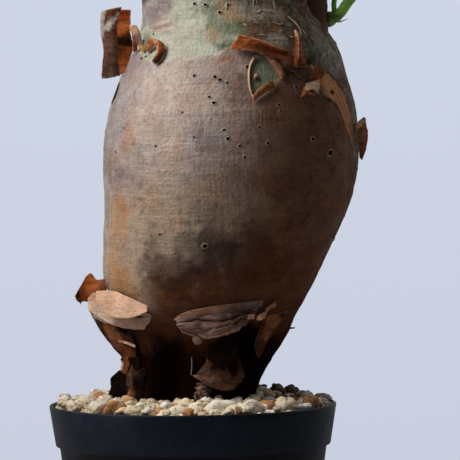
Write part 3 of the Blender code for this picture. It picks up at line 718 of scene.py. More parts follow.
def slab_faces(rows, columns):
    """Faces of a slab between two grids of points alike, with the rim between them."""
    half = rows * columns
    faces = []
    for i in range(rows - 1):
        for a in range(i * columns, (i + 1) * columns - 1):
            b, c, d = a + 1, a + columns, a + columns + 1
            faces += [(a, c, d, b), (half + a, half + b, half + d, half + c)]
    rim = list(range(columns)) + [i * columns + columns - 1 for i in range(1, rows)]
    rim += [(rows - 1) * columns + j for j in range(columns - 2, -1, -1)]
    rim += [i * columns for i in range(rows - 2, 0, -1)]
    return faces + [(a, b, half + b, half + a) for a, b in zip(rim, rim[1:] + rim[:1])]


def tube(path, radii, sides, squash=1.0):
    """Rings square to a path, with the faces between them."""
    points = []
    across = None
    last = len(path) - 1
    for i, (centre, radius) in enumerate(zip(path, radii)):
        along = (path[min(i + 1, last)] - path[max(i - 1, 0)]).normalized()
        if across is None:
            across = along.orthogonal().normalized()
        across = (across - along * across.dot(along)).normalized()
        other = along.cross(across)
        points += [centre + across * x * radius + other * y * radius * squash for x, y in circle(sides)]
    return points, ring_faces(len(path), sides)


# Trunk


def trunk_rows():
    rows = []
    for low, high, pitch in ROW_BANDS:
        count = round((high - low) / pitch)
        rows += [low + (high - low) * i / count for i in range(count)]
    return rows + [ROW_BANDS[-1][1]]


def trunk_columns():
    back = [180 * i / BACK_COLUMNS for i in range(BACK_COLUMNS)]
    return back + [180 + 180 * i / FRONT_COLUMNS for i in range(FRONT_COLUMNS)]


def arm_tone(share, wobble):
    tone = mix(SKIN["brown"], SKIN["slate"], clamp(0.4 + wobble))
    tone = toned(tone, "umber", ease(0.5 - share * 2) * 0.8)
    return toned(tone, "moss", ease(share * 1.6 - 0.7 + wobble * 0.5) * 0.55)


def grow_arm(build, name, foot, tip, foot_radius, tip_radius):
    """An arm with leaf-scar rings, flared where it leaves the trunk, with a low dome on its tip."""
    foot, tip = Vector(foot), Vector(tip)
    path, radii, shares = [], [], []
    for t in steps(ARM_ROWS):
        flare = 1 + 0.12 * (1 - t) ** 3 + 0.12 * (1 - t) ** 12
        ring = 0.025 * max(0.0, math.sin(t * 34 + 2 * math.sin(t * 9))) ** 6
        path.append(foot.lerp(tip, min(t, ARM_CAP_START)))
        radii.append((foot_radius + (tip_radius - foot_radius) * ease(t)) * (flare - ring))
        shares.append(t)
    for dome in ARM_CAP_RADII:
        path.append(foot.lerp(tip, ARM_CAP_START + (1 - ARM_CAP_START) * (1 - dome)))
        radii.append(tip_radius * dome)
        shares.append(1.0)
    points, faces = tube(path, radii, ARM_SIDES)
    tones = []
    for i, point in enumerate(points):
        row = i // ARM_SIDES
        away = (point - path[row]).normalized()
        tone = arm_tone(shares[row], fuzz(point, 0.12, 4))
        # The stub is darker than the arms: partly its own browner bark, partly painted shade
        tones.append(toned(tone, "umber", 0.25) if name == "stub" else tone)
        points[i] = point + away * (fuzz(point, 0.25, 3) * 0.4)
    build.add(points, faces, tones)


def make_trunk(material):
    build = Build()
    rows, columns = trunk_rows(), trunk_columns()
    points, tones = [], []
    for height in rows:
        edges = trunk_edges(height)
        for angle in columns:
            plain = bark_point(angle, height, 0.0, edges)
            lift = skin_lift(angle, height, plain) if height > SMOOTH_BELOW else 0.0
            points.append(bark_point(angle, height, lift, edges))
            tones.append(skin_tone(angle, height, plain))
    build.add(points, ring_faces(len(rows), len(columns)), tones)
    for name, shape in ARMS.items():
        grow_arm(build, name, *shape)
    trunk = build.piece("trunk", material, "trunk_skin", fix_normals=False)
    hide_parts("caudex")


# Lenticels seen on the front: angle, height, radius
LENTICELS = [
    (249.5, 246.8, 0.8), (260.3, 246.3, 0.85), (262.9, 245, 0.85), (258.5, 238.2, 0.7), (261.1, 235.7, 0.9),
    (208.9, 254.2, 1.0), (211.3, 255, 0.8), (213.4, 225.8, 0.6), (266.4, 224.8, 0.7), (268.2, 221.1, 0.9),
    (273.5, 218.2, 0.8), (285.8, 219.3, 0.8), (281.8, 225.8, 0.6), (307.7, 220.6, 0.9), (318.1, 214.8, 1.4),
    (275.8, 213.7, 0.7), (234.6, 218.5, 0.6), (207.9, 216, 0.7), (263.7, 177.7, 1.1), (239.9, 182.6, 0.7),
    (300.4, 241.9, 0.8), (290.8, 234.6, 0.7), (291.7, 232.2, 0.6), (275.9, 250.2, 0.8), (277, 244.3, 0.7),
    (266.4, 243.8, 0.6), (249.5, 276.3, 0.8), (257.1, 275.8, 0.8), (265.6, 272.5, 0.9), (272, 275.7, 0.8),
    (212.8, 264.4, 0.6), (253, 222, 0.5), (296, 206, 0.6), (300, 195, 0.6), (246.5, 232, 0.5),
]
LENTICEL_SIDES = 12
RANDOM_LENTICELS = 90
PIT = linear((26, 16, 12))


def grow_lenticel(build, angle, height, radius):
    """A pale raised rim round a dark pit."""
    here, out, level, upward = skin_frame(angle, height)
    rim = toned(skin_tone(angle, height, here), "bone", 0.4)
    stations = ((1.7, -0.25, rim), (1.3, 0.24, rim), (1.02, 0.34, rim), (0.86, 0.2, PIT), (0.4, 0.14, PIT))
    points, tones = [], []
    for reach, rise, tone in stations:
        for x, y in circle(LENTICEL_SIDES):
            points.append(here + (level * x + upward * y * 0.85) * reach * radius + out * rise * radius)
            tones.append(tone)
    build.add(points, ring_faces(len(stations), LENTICEL_SIDES, closed_start=False), tones)


def make_lenticels(material):
    build = Build()
    draw = random.Random(7)
    for angle, height, radius in LENTICELS:
        grow_lenticel(build, angle, height, radius * 0.95)
    for _ in range(RANDOM_LENTICELS):
        angle = draw.uniform(-28, 205)
        height = draw.uniform(172, 276)
        grow_lenticel(build, angle % 360, height, draw.uniform(0.35, 0.75))
    build.piece("lenticels", material, "trunk_skin", fix_normals=False)


# Pale raised scratches on the upper skin: points as (angle, height)
SCRATCHES = [
    [(322.3, 253.9), (326, 255.2), (329.4, 256)],
    [(328.8, 253.6), (331.5, 256), (334.5, 258.4)],
    [(287.5, 273.3), (290, 272.2), (293.5, 273.4), (296.5, 272.4)],
    [(297.5, 273.2), (301, 272.4)],
    [(277.2, 267.8), (279.4, 266.8)],
    [(310.8, 257.2), (313.6, 256.4)],
    [(306, 278), (305.4, 273.5)],
    [(284, 263.4), (288, 262.7)],
    [(271.5, 277), (270.5, 273.5)],
    [(289.5, 275.5), (291, 278.5), (293, 275.8)],
    [(312, 271), (314, 267), (313, 263)],
    [(315.5, 266), (317, 262.6)],
    [(303, 262.6), (305.6, 261.8)],
    [(320, 262), (323.4, 258.6)],
    [(297, 268.6), (300.4, 267.4), (303, 268)],
    [(331, 249), (333.6, 246.6)],
    [(284, 268.4), (286.8, 267.8)],
]
RANDOM_SCRATCHES = 22
SCRATCH_STEPS = 12
THREAD_SIDES = 8


def make_scratches(material):
    build = Build()
    draw = random.Random(19)
    lines = list(SCRATCHES)
    for _ in range(RANDOM_SCRATCHES):
        angle, height = draw.uniform(-30, 150), draw.uniform(252, 290)
        lines.append([(angle, height), (angle + draw.uniform(2, 5), height + draw.uniform(-1.2, 1.2))])
    for line in lines:
        controls = [Vector((angle, height, 0)) for angle, height in line]
        places = [curve_at(controls, t) for t in steps(SCRATCH_STEPS)]
        path = [skin_point(place.x, place.y, 0.05) for place in places]
        radii = [0.1 + 0.28 * math.sin(math.pi * clamp(t * 0.94 + 0.03)) for t in steps(SCRATCH_STEPS)]
        points, faces = tube(path, radii, THREAD_SIDES)
        build.add(points, faces, [mix(SKIN["bone"], SKIN["slate"], 0.3)] * len(points))
    build.piece("skin_scratches", material, "trunk_skin")


STRANDS = 16
STRAND_STEPS = 18
STRAND_FOOT = 108.5


def make_roots(material):
    """Thin old roots and torn strands that run down the trunk's foot into the stones."""
    build = Build()
    draw = random.Random(5)
    strands = [(draw.uniform(20, 178), draw.choice(("base", "root", "root"))) for _ in range(STRANDS)]
    for angle, name in strands:
        top = draw.uniform(119, 133)
        lean = draw.uniform(-7, 7)
        thick = draw.uniform(0.3, 0.75)
        path, radii = [], []
        for t in steps(STRAND_STEPS):
            sway = 1.6 * wave(angle, t * 3.1, thick)
            lift = -0.6 + 1.1 * ease(t * 4) + 1.6 * t * t + sway * 0.4
            path.append(bark_point(angle + lean * t + sway * 1.5, top + (STRAND_FOOT - top) * t, lift))
            lumpy = 1 + 0.2 * wave(t * 9, angle, 0)
            radii.append(thick * (0.35 + 0.65 * ease(t * 3)) * lumpy)
        points, faces = tube(path, radii, THREAD_SIDES)
        tones = [mix(SKIN[name], SKIN["root"], clamp(0.45 + fuzz(point, 0.4, 2))) for point in points]
        build.add(points, faces, tones)
    build.piece("old_roots", material, "trunk_skin", fix_normals=False)


# Peeling bark

# The near-black pitch tone stands for bark in deep shade: painted shade. The ivory tone brightens pale bark
# where the lamp only grazes it: painted light.
BARK = palette(
    chocolate=(84, 50, 34), cocoa=(112, 80, 64), ash=(160, 150, 143), rust=(186, 98, 36), amber=(168, 92, 42),
    russet=(138, 76, 40), walnut=(88, 62, 50), ember=(120, 44, 16), cinnamon=(168, 104, 62),
    honey=(206, 148, 84), plum=(128, 98, 92), tan=(200, 152, 116), buff=(224, 182, 152),
    ivory=(250, 214, 188), rose=(214, 168, 144), mauve=(156, 123, 107), pitch=(28, 19, 16),
    umber=(86, 56, 42), dusk=(136, 106, 93), flake=(244, 190, 152),
)


def sheet(
    outside, inside, rows, marks=(), inner_marks=(), creases=(), rag=0.05, crinkle=0.5, mottle=1.0, edge=0.8
):
    """Plan of a sheet of bark.

    It has a tone on each side, rows of (angle, height, lift) from its upper to its lower edge, marks on its
    outside and inside as (tone, share down, share across, height, width, strength), and creases as
    (share down, sway, width, depth). Then it says how torn the edges are, how crinkled and how mottled the
    sheet is, and how pale its edges are.
    """
    return {
        "tones": {"outside": outside, "inside": inside},
        "rows": [[Vector(place) for place in row] for row in rows],
        "marks": {"outside": marks, "inside": inner_marks},
        "creases": creases,
        "rag": rag,
        "crinkle": crinkle,
        "mottle": mottle,
        "edge": edge,
    }


def scrap(outside, inside, rag=0.08, crinkle=0.35, **plan):
    return sheet(outside, inside, rag=rag, crinkle=crinkle, **plan)


# Sheets of bark, whose rows are those of the solids
SHEETS = {
    "bark_sheet_upper_left": sheet(
        "walnut", "russet", rag=0.02, mottle=1.3,
        rows=[
            [(197, 274.7, 6.1), (192, 274.8, 12), (195, 274, 18), (203, 275, 16.5), (206, 275.7, 13.2)],
            [
                (196, 267.2, 5.1), (191, 266.5, 10.8), (195, 265.6, 17.6), (203, 265.8, 16.2),
                (205, 267.4, 14),
            ],
            [(189, 257.3, 1), (192, 257.3, 8), (196, 257, 14.3), (203, 257.2, 13.2), (204.6, 257.5, 11)],
            [(197, 248.5, 1), (196, 247, 4.2), (197.6, 246, 10.2), (205, 246.4, 8.8), (206.6, 247.2, 6)],
        ],
        marks=[
            ("ash", 0.16, 0.56, 0.3, 0.1, 1.0), ("ash", 0.16, 0.94, 0.07, 0.12, 0.95),
            ("ash", 0.22, 0.84, 0.06, 0.14, 1.0), ("ash", 0.28, 0.72, 0.06, 0.14, 1.0),
            ("chocolate", 0.09, 0.78, 0.06, 0.13, 0.95), ("chocolate", 0.38, 0.8, 0.05, 0.16, 0.8),
            ("ash", 0.62, 0.51, 0.24, 0.06, 0.8),
        ],
        inner_marks=[
            # The near-black pitch band on the inside is painted shade
            ("rust", 0.34, 0.2, 0.1, 0.5, 0.5), ("pitch", 0.52, 0.1, 0.07, 0.5, 0.85),
            ("ember", 0.1, 0.2, 0.14, 0.3, 0.8), ("rust", 0.74, 0.1, 0.12, 0.2, 0.6),
        ],
    ),
    "bark_ribbon_upper_left": sheet(
        "plum", "rust",
        rows=[
            [(203, 268.3, 8.2), (204, 263.7, 6.5), (205, 260.4, 3.6), (207, 257, 1)],
            [(207, 268.2, 6.1), (209, 264.5, 4.8), (209, 260.8, 3.1), (210, 257, 1)],
        ],
        marks=[("tan", 0.5, 0.0, 0.9, 0.3, 0.9), ("honey", 0.5, 0.95, 0.9, 0.25, 0.9)],
    ),
    "bark_curl_upper_left": sheet(
        "cinnamon", "cinnamon",
        rows=[
            [
                (211.5, 257.1, 1.2), (213, 260.4, 2.6), (218.3, 262.6, 3.6), (226.4, 260.6, 3),
                (228, 256.4, 2), (226, 251.4, 1),
            ],
            [
                (213.1, 257, 1.6), (216, 259.6, 2.8), (220.1, 261, 3.8), (225, 259.4, 4), (226, 255.6, 3.4),
                (223.8, 252.2, 2.2),
            ],
            [
                (214.4, 256.9, 1), (216.6, 258.3, 1.4), (219.8, 259.3, 2.4), (223, 258.2, 2.8),
                (222.8, 255.4, 2.2), (220.8, 253, 1.2),
            ],
        ],
        marks=[
            ("rust", 0.5, 0.12, 0.6, 0.16, 0.5), ("cocoa", 0.3, 0.26, 0.3, 0.05, 0.7),
            ("tan", 0.3, 0.46, 0.6, 0.08, 0.6), ("tan", 0.9, 0.7, 0.3, 0.22, 0.8),
            # The russet and chocolate on the curl's right side are painted shade on the side away from the
            # lamp
            ("russet", 0.1, 0.76, 0.4, 0.26, 1.0), ("chocolate", 0.3, 0.96, 0.7, 0.16, 1.0),
        ],
    ),
    "bark_ledge_upper_right": sheet(
        "russet", "russet",
        rows=[
            [(272.4, 263.6, 1), (281, 261.8, 1), (290, 259.3, 1), (299, 256.6, 1)],
            [(270.6, 262.6, 2.9), (279.6, 260.7, 3.7), (289, 257.8, 3.4), (297.6, 255.4, 2.4)],
            [(268, 260, 3), (278, 258.4, 2.9), (288, 255.8, 2.9), (296.4, 254, 2)],
            [(265.4, 257.2, 3.2), (277, 256.6, 4.1), (287, 253.8, 3.8), (295, 252.4, 2.4)],
        ],
        marks=[
            ("rust", 0.7, 0.18, 0.4, 0.22, 0.5), ("ember", 0.5, 0.55, 0.3, 0.4, 0.4),
            ("chocolate", 0.75, 0.55, 0.3, 0.4, 0.7), ("rust", 0.8, 0.86, 0.3, 0.12, 0.6),
            ("rose", 0.16, 0.45, 0.1, 0.8, 0.6), ("cocoa", 0.05, 0.8, 0.2, 0.3, 0.6),
        ],
    ),
    "bark_roll_upper_right": sheet(
        "cinnamon", "rust",
        rows=[
            [(283.4, 255.6, 1), (286.4, 252.4, 0.8), (290, 248.6, 0.8), (292.6, 244.9, 0.7)],
            [(284, 255.8, 2.1), (287, 252.6, 2.2), (290.8, 248.8, 2), (293, 245.2, 1.7)],
            [(285.4, 256.4, 2.6), (288.4, 253.2, 2.7), (292, 249.6, 2.5), (294, 246, 2)],
            [(286.6, 257, 1.9), (289.6, 253.8, 1.9), (293, 250.4, 1.8), (294.8, 246.8, 1.4)],
        ],
        marks=[("mauve", 0.5, 0.5, 0.5, 0.35, 0.6)],
    ),
    "bark_lip_upper_right": sheet(
        "cinnamon", "honey",
        rows=[
            [(279.2, 236.2, 1), (283.6, 239.1, 1), (289.8, 242, 1)],
            [(278.8, 237.2, 2.4), (283, 240.6, 2.9), (288.6, 243.4, 2.2)],
            [(278.4, 238.4, 2.8), (282.4, 242.4, 3.2), (287.4, 244.9, 2.2)],
        ],
        marks=[("honey", 0.95, 0.5, 0.25, 0.6, 0.5)],
    ),
    "bark_spike_upper_right": sheet(
        "russet", "russet",
        rows=[
            [(298.2, 249.8, 1), (299.8, 254.5, 1.8), (302.4, 259.4, 2.4), (305.8, 265, 2.6)],
            [(300.6, 249.6, 3.4), (302, 254.5, 3.8), (303.8, 259.6, 3.8), (306.6, 265.4, 3.4)],
            [(307.8, 250, 1.2), (307, 254.5, 2), (306, 259, 2.8), (308.2, 264.4, 2.9)],
        ],
        marks=[
            ("rust", 0.8, 0.3, 0.3, 0.5, 0.5), ("tan", 0.47, 0.6, 0.08, 0.7, 0.8),
            ("tan", 0.5, 1.0, 0.9, 0.22, 0.9), ("chocolate", 0.0, 0.4, 0.3, 0.6, 0.7),
            ("chocolate", 0.5, 0.0, 0.9, 0.14, 0.7),
        ],
    ),
    "bark_scrap_upper_right": sheet(
        "buff", "rust", rag=0.1,
        rows=[
            [(305.6, 243.1, 1), (310, 244.1, 1.6), (315.4, 244.9, 1.4)],
            [(302.6, 238.4, 2.4), (307.4, 240.6, 2.4), (311.4, 238.8, 2.4)],
        ],
        marks=[("rust", 0.9, 0.05, 0.3, 0.22, 0.9)],
    ),
    "bark_edge_right": sheet(
        "cinnamon", "rust",
        rows=[
            [(342, 226.8, 1), (344, 222.2, 1), (347, 216.8, 1), (350, 212.2, 1)],
            [(350.6, 227.4, 4.2), (351, 222.6, 4.4), (351.6, 217.2, 3.8), (353, 210.9, 1.8)],
        ],
        marks=[("chocolate", 0.2, 0.8, 0.5, 0.3, 0.7)],
    ),
    "bark_ear_lower_left": sheet(
        "amber", "chocolate",
        rows=[
            [(199, 163.5, 1), (189, 162.7, 3.6), (187, 165.3, 6.2), (187, 160.8, 10.4), (188, 155.5, 15.6)],
            [(191, 156.6, 1), (190, 155, 5.4), (187, 153.2, 9.8), (186, 153.4, 12.3), (186, 153.2, 15.4)],
        ],
        marks=[("cinnamon", 0.3, 0.1, 0.6, 0.16, 0.8), ("chocolate", 0.3, 0.97, 0.6, 0.13, 0.95)],
    ),
    "bark_lobe_lower_left": sheet(
        "buff", "umber", rag=0.015, crinkle=0.3, mottle=0.5,
        rows=[
            [(197, 158.2, 6.6), (206, 158.4, 1.6), (220, 155.9, 1.2), (233.4, 152.7, 1.6)],
            [(200.4, 155.6, 9), (210, 152.6, 7.4), (222.6, 151.4, 6.2), (234.6, 151.7, 4)],
            [(203.6, 152.6, 10.6), (212.6, 148.2, 11), (225, 147.8, 9), (235.6, 150.7, 5.4)],
        ],
        marks=[("tan", 0.5, 0.2, 0.5, 0.25, 0.4), ("rose", 0.3, 0.8, 0.4, 0.3, 0.5)],
    ),
    "bark_collar_lower_left": sheet(
        "rose", "umber", rag=0.035, mottle=0.6,
        rows=[
            [(190.4, 157.6, 7), (199, 153.6, 2), (219, 150.8, 1), (232, 149.2, 1)],
            [(188.4, 154.4, 11), (197, 150, 7), (215, 147.2, 3.2), (233, 147.4, 2)],
            [(188.4, 149.6, 12.6), (198, 144.6, 8.4), (209, 142.6, 4.4), (226, 142.7, 2.6)],
        ],
        marks=[
            # The ivory patch is pale bark with painted light where the lamp only grazes; the chocolate band
            # is painted shadow under the lobe's lower edge
            ("ivory", 0.8, 0.2, 0.4, 0.3, 0.8), ("tan", 0.3, 0.1, 0.3, 0.2, 0.5),
            ("chocolate", 0.38, 0.62, 0.1, 0.33, 0.95),
        ],
    ),
    "bark_strip_lower_left": sheet(
        "umber", "umber", rag=0.03, edge=0.2,
        rows=[
            [
                (184, 150.6, 12), (183.6, 145.4, 12), (184, 139.8, 10.6), (186.4, 133.8, 7.6),
                (192, 128.9, 5),
            ],
            [(191, 149.8, 9.4), (192, 144.8, 8.6), (194, 139.4, 6.8), (197, 133.8, 5), (199, 128.8, 3.8)],
            [(201, 150, 3.4), (203, 145.4, 2.6), (206.6, 140, 2.6), (209.4, 134.6, 2.8), (205, 129, 2.8)],
        ],
        marks=[
            # The pitch marks at the strip's foot are painted shade, and the ivory patch is pale bark with
            # painted light
            ("cinnamon", 0.5, 0.42, 0.24, 0.22, 0.7), ("pitch", 1.0, 0.3, 0.3, 0.36, 0.9),
            ("pitch", 0.9, 0.36, 0.22, 0.16, 0.85), ("ivory", 0.46, 0.0, 0.34, 0.3, 0.8),
            ("cocoa", 0.0, 0.3, 0.12, 0.6, 0.85), ("russet", 0.5, 0.76, 0.4, 0.16, 0.6),
        ],
    ),
    # Near black all over: painted shade on this shard in the dark at the trunk's foot
    "bark_shard_base_left": sheet(
        "pitch", "pitch", rag=0.06, edge=0.08,
        rows=[
            [
                (190, 124.6, 6.4), (188, 121.2, 8.9), (188, 117.4, 8.5), (188, 114.6, 9.3),
                (188.4, 111.6, 8.6),
            ],
            [(193, 125.4, 5.4), (192, 121.6, 6), (192, 118, 5.8), (192, 114.8, 5.8), (192, 111.6, 5.6)],
            [(197, 125, 4.6), (197, 121.6, 3.9), (197, 118, 3.4), (197, 114.8, 3), (197, 111.6, 2.8)],
        ],
    ),
    "bark_fold_lower_middle": sheet(
        "dusk", "umber", rag=0.08, crinkle=1.2,
        rows=[
            [(248, 147.1, 1), (255, 150.1, 1), (269, 152.4, 1), (287, 154, 1), (306, 155.2, 1)],
            [(250, 146.4, 3), (258, 147.3, 3.4), (271, 147.7, 3.6), (287, 149.1, 3.4), (303, 152, 2.2)],
            [(252, 144, 4.5), (259, 143.7, 6), (273, 142.9, 6.4), (287, 145.9, 5.6), (299, 149.6, 2.8)],
            [(254, 141.9, 4), (261, 140.3, 5.5), (274, 139.5, 6), (290, 142.9, 5), (297, 147.6, 3)],
        ],
        marks=[
            ("cinnamon", 0.06, 0.3, 0.12, 0.5, 0.5), ("plum", 0.5, 0.4, 0.12, 0.2, 0.5),
            ("umber", 0.5, 0.85, 0.3, 0.2, 0.6), ("mauve", 0.97, 0.35, 0.08, 0.4, 0.6),
            ("rose", 0.9, 0.52, 0.1, 0.2, 0.6), ("mauve", 0.3, 0.1, 0.3, 0.12, 0.7),
        ],
        creases=[
            (0.44, 0.1, 0.045, 1.3), (0.68, 0.2, 0.03, 0.8), (0.24, 0.16, 0.025, 0.5),
            (0.85, 0.1, 0.025, 0.6),
        ],
    ),
    "bark_tongue_lower_right": sheet(
        "umber", "umber",
        rows=[
            [(308, 147.3, 1.2), (317, 148.7, 1), (328, 149.6, 1.2)],
            [(306, 141.5, 2.4), (312, 142.2, 3.2), (322, 143.1, 2.2)],
            [(306, 135.3, 3.2), (311, 135.2, 4), (318, 136.6, 3)],
            [(312, 131, 3.6), (314, 130.6, 4), (316, 131.7, 3.6)],
        ],
        marks=[("cinnamon", 0.2, 0.6, 0.35, 0.4, 0.7)],
    ),
    "bark_shard_base_middle": sheet(
        "cocoa", "umber", crinkle=0.9, edge=0.12,
        rows=[
            [(270, 135.8, 1), (281, 136.4, 1), (293, 135.5, 1)],
            [(272, 129.6, 2), (284, 129.1, 2.6), (301, 127.9, 2)],
            [(268, 123.5, 3.6), (286, 122.6, 5), (309, 121.5, 3.4)],
            [(279, 119.7, 3.6), (291, 117.4, 4.6), (302, 117, 3.8)],
        ],
        # The pitch mark is painted shade under the fold
        marks=[("pitch", 0.0, 0.7, 0.62, 0.8, 0.96), ("plum", 0.85, 0.5, 0.2, 0.5, 0.5)],
        creases=[(0.62, 0.3, 0.03, 0.6), (0.8, 0.2, 0.03, 0.5)],
    ),
    "bark_ledge_back": sheet(
        "cinnamon", "rust",
        rows=[
            [(58, 262, 1), (78, 259, 1), (100, 261, 1), (118, 257, 1)],
            [(56, 256, 2.8), (79, 253, 3.6), (101, 254, 3.2), (116, 251, 2.4)],
        ],
        marks=[("rose", 0.0, 0.5, 0.2, 0.8, 0.7), ("rust", 0.6, 0.3, 0.4, 0.2, 0.8)],
    ),
    "bark_collar_back_right": sheet(
        "mauve", "umber",
        rows=[
            [(26, 154, 1), (45, 152, 1), (65, 153, 1), (84, 151, 1)],
            [(25, 150, 3), (45, 147, 4.8), (65, 148, 4.4), (85, 147, 3)],
            [(29, 145, 4), (46, 141, 6), (64, 143, 6), (80, 143, 3.6)],
        ],
        marks=[("cinnamon", 0.2, 0.4, 0.2, 0.5, 0.6)],
    ),
    "bark_collar_back_left": sheet(
        "rose", "umber",
        rows=[
            [(99, 153, 1), (118, 156, 1), (138, 155, 1), (157, 158, 1)],
            [(99, 149, 3), (119, 150, 4.6), (140, 149, 5), (160, 153, 3.5)],
            [(103, 144, 3.4), (120, 141, 6.4), (139, 143, 7), (156, 147, 5)],
        ],
        marks=[("tan", 0.3, 0.7, 0.4, 0.3, 0.7)],
    ),
    "bark_strip_back": sheet(
        "umber", "cinnamon",
        rows=[
            [(87, 139, 1), (88, 132, 3), (90, 125, 3.2), (93, 118, 2.2)],
            [(98, 140, 1), (99, 132, 2.4), (98, 124, 2.4), (96, 117.5, 1.8)],
        ],
    ),
}
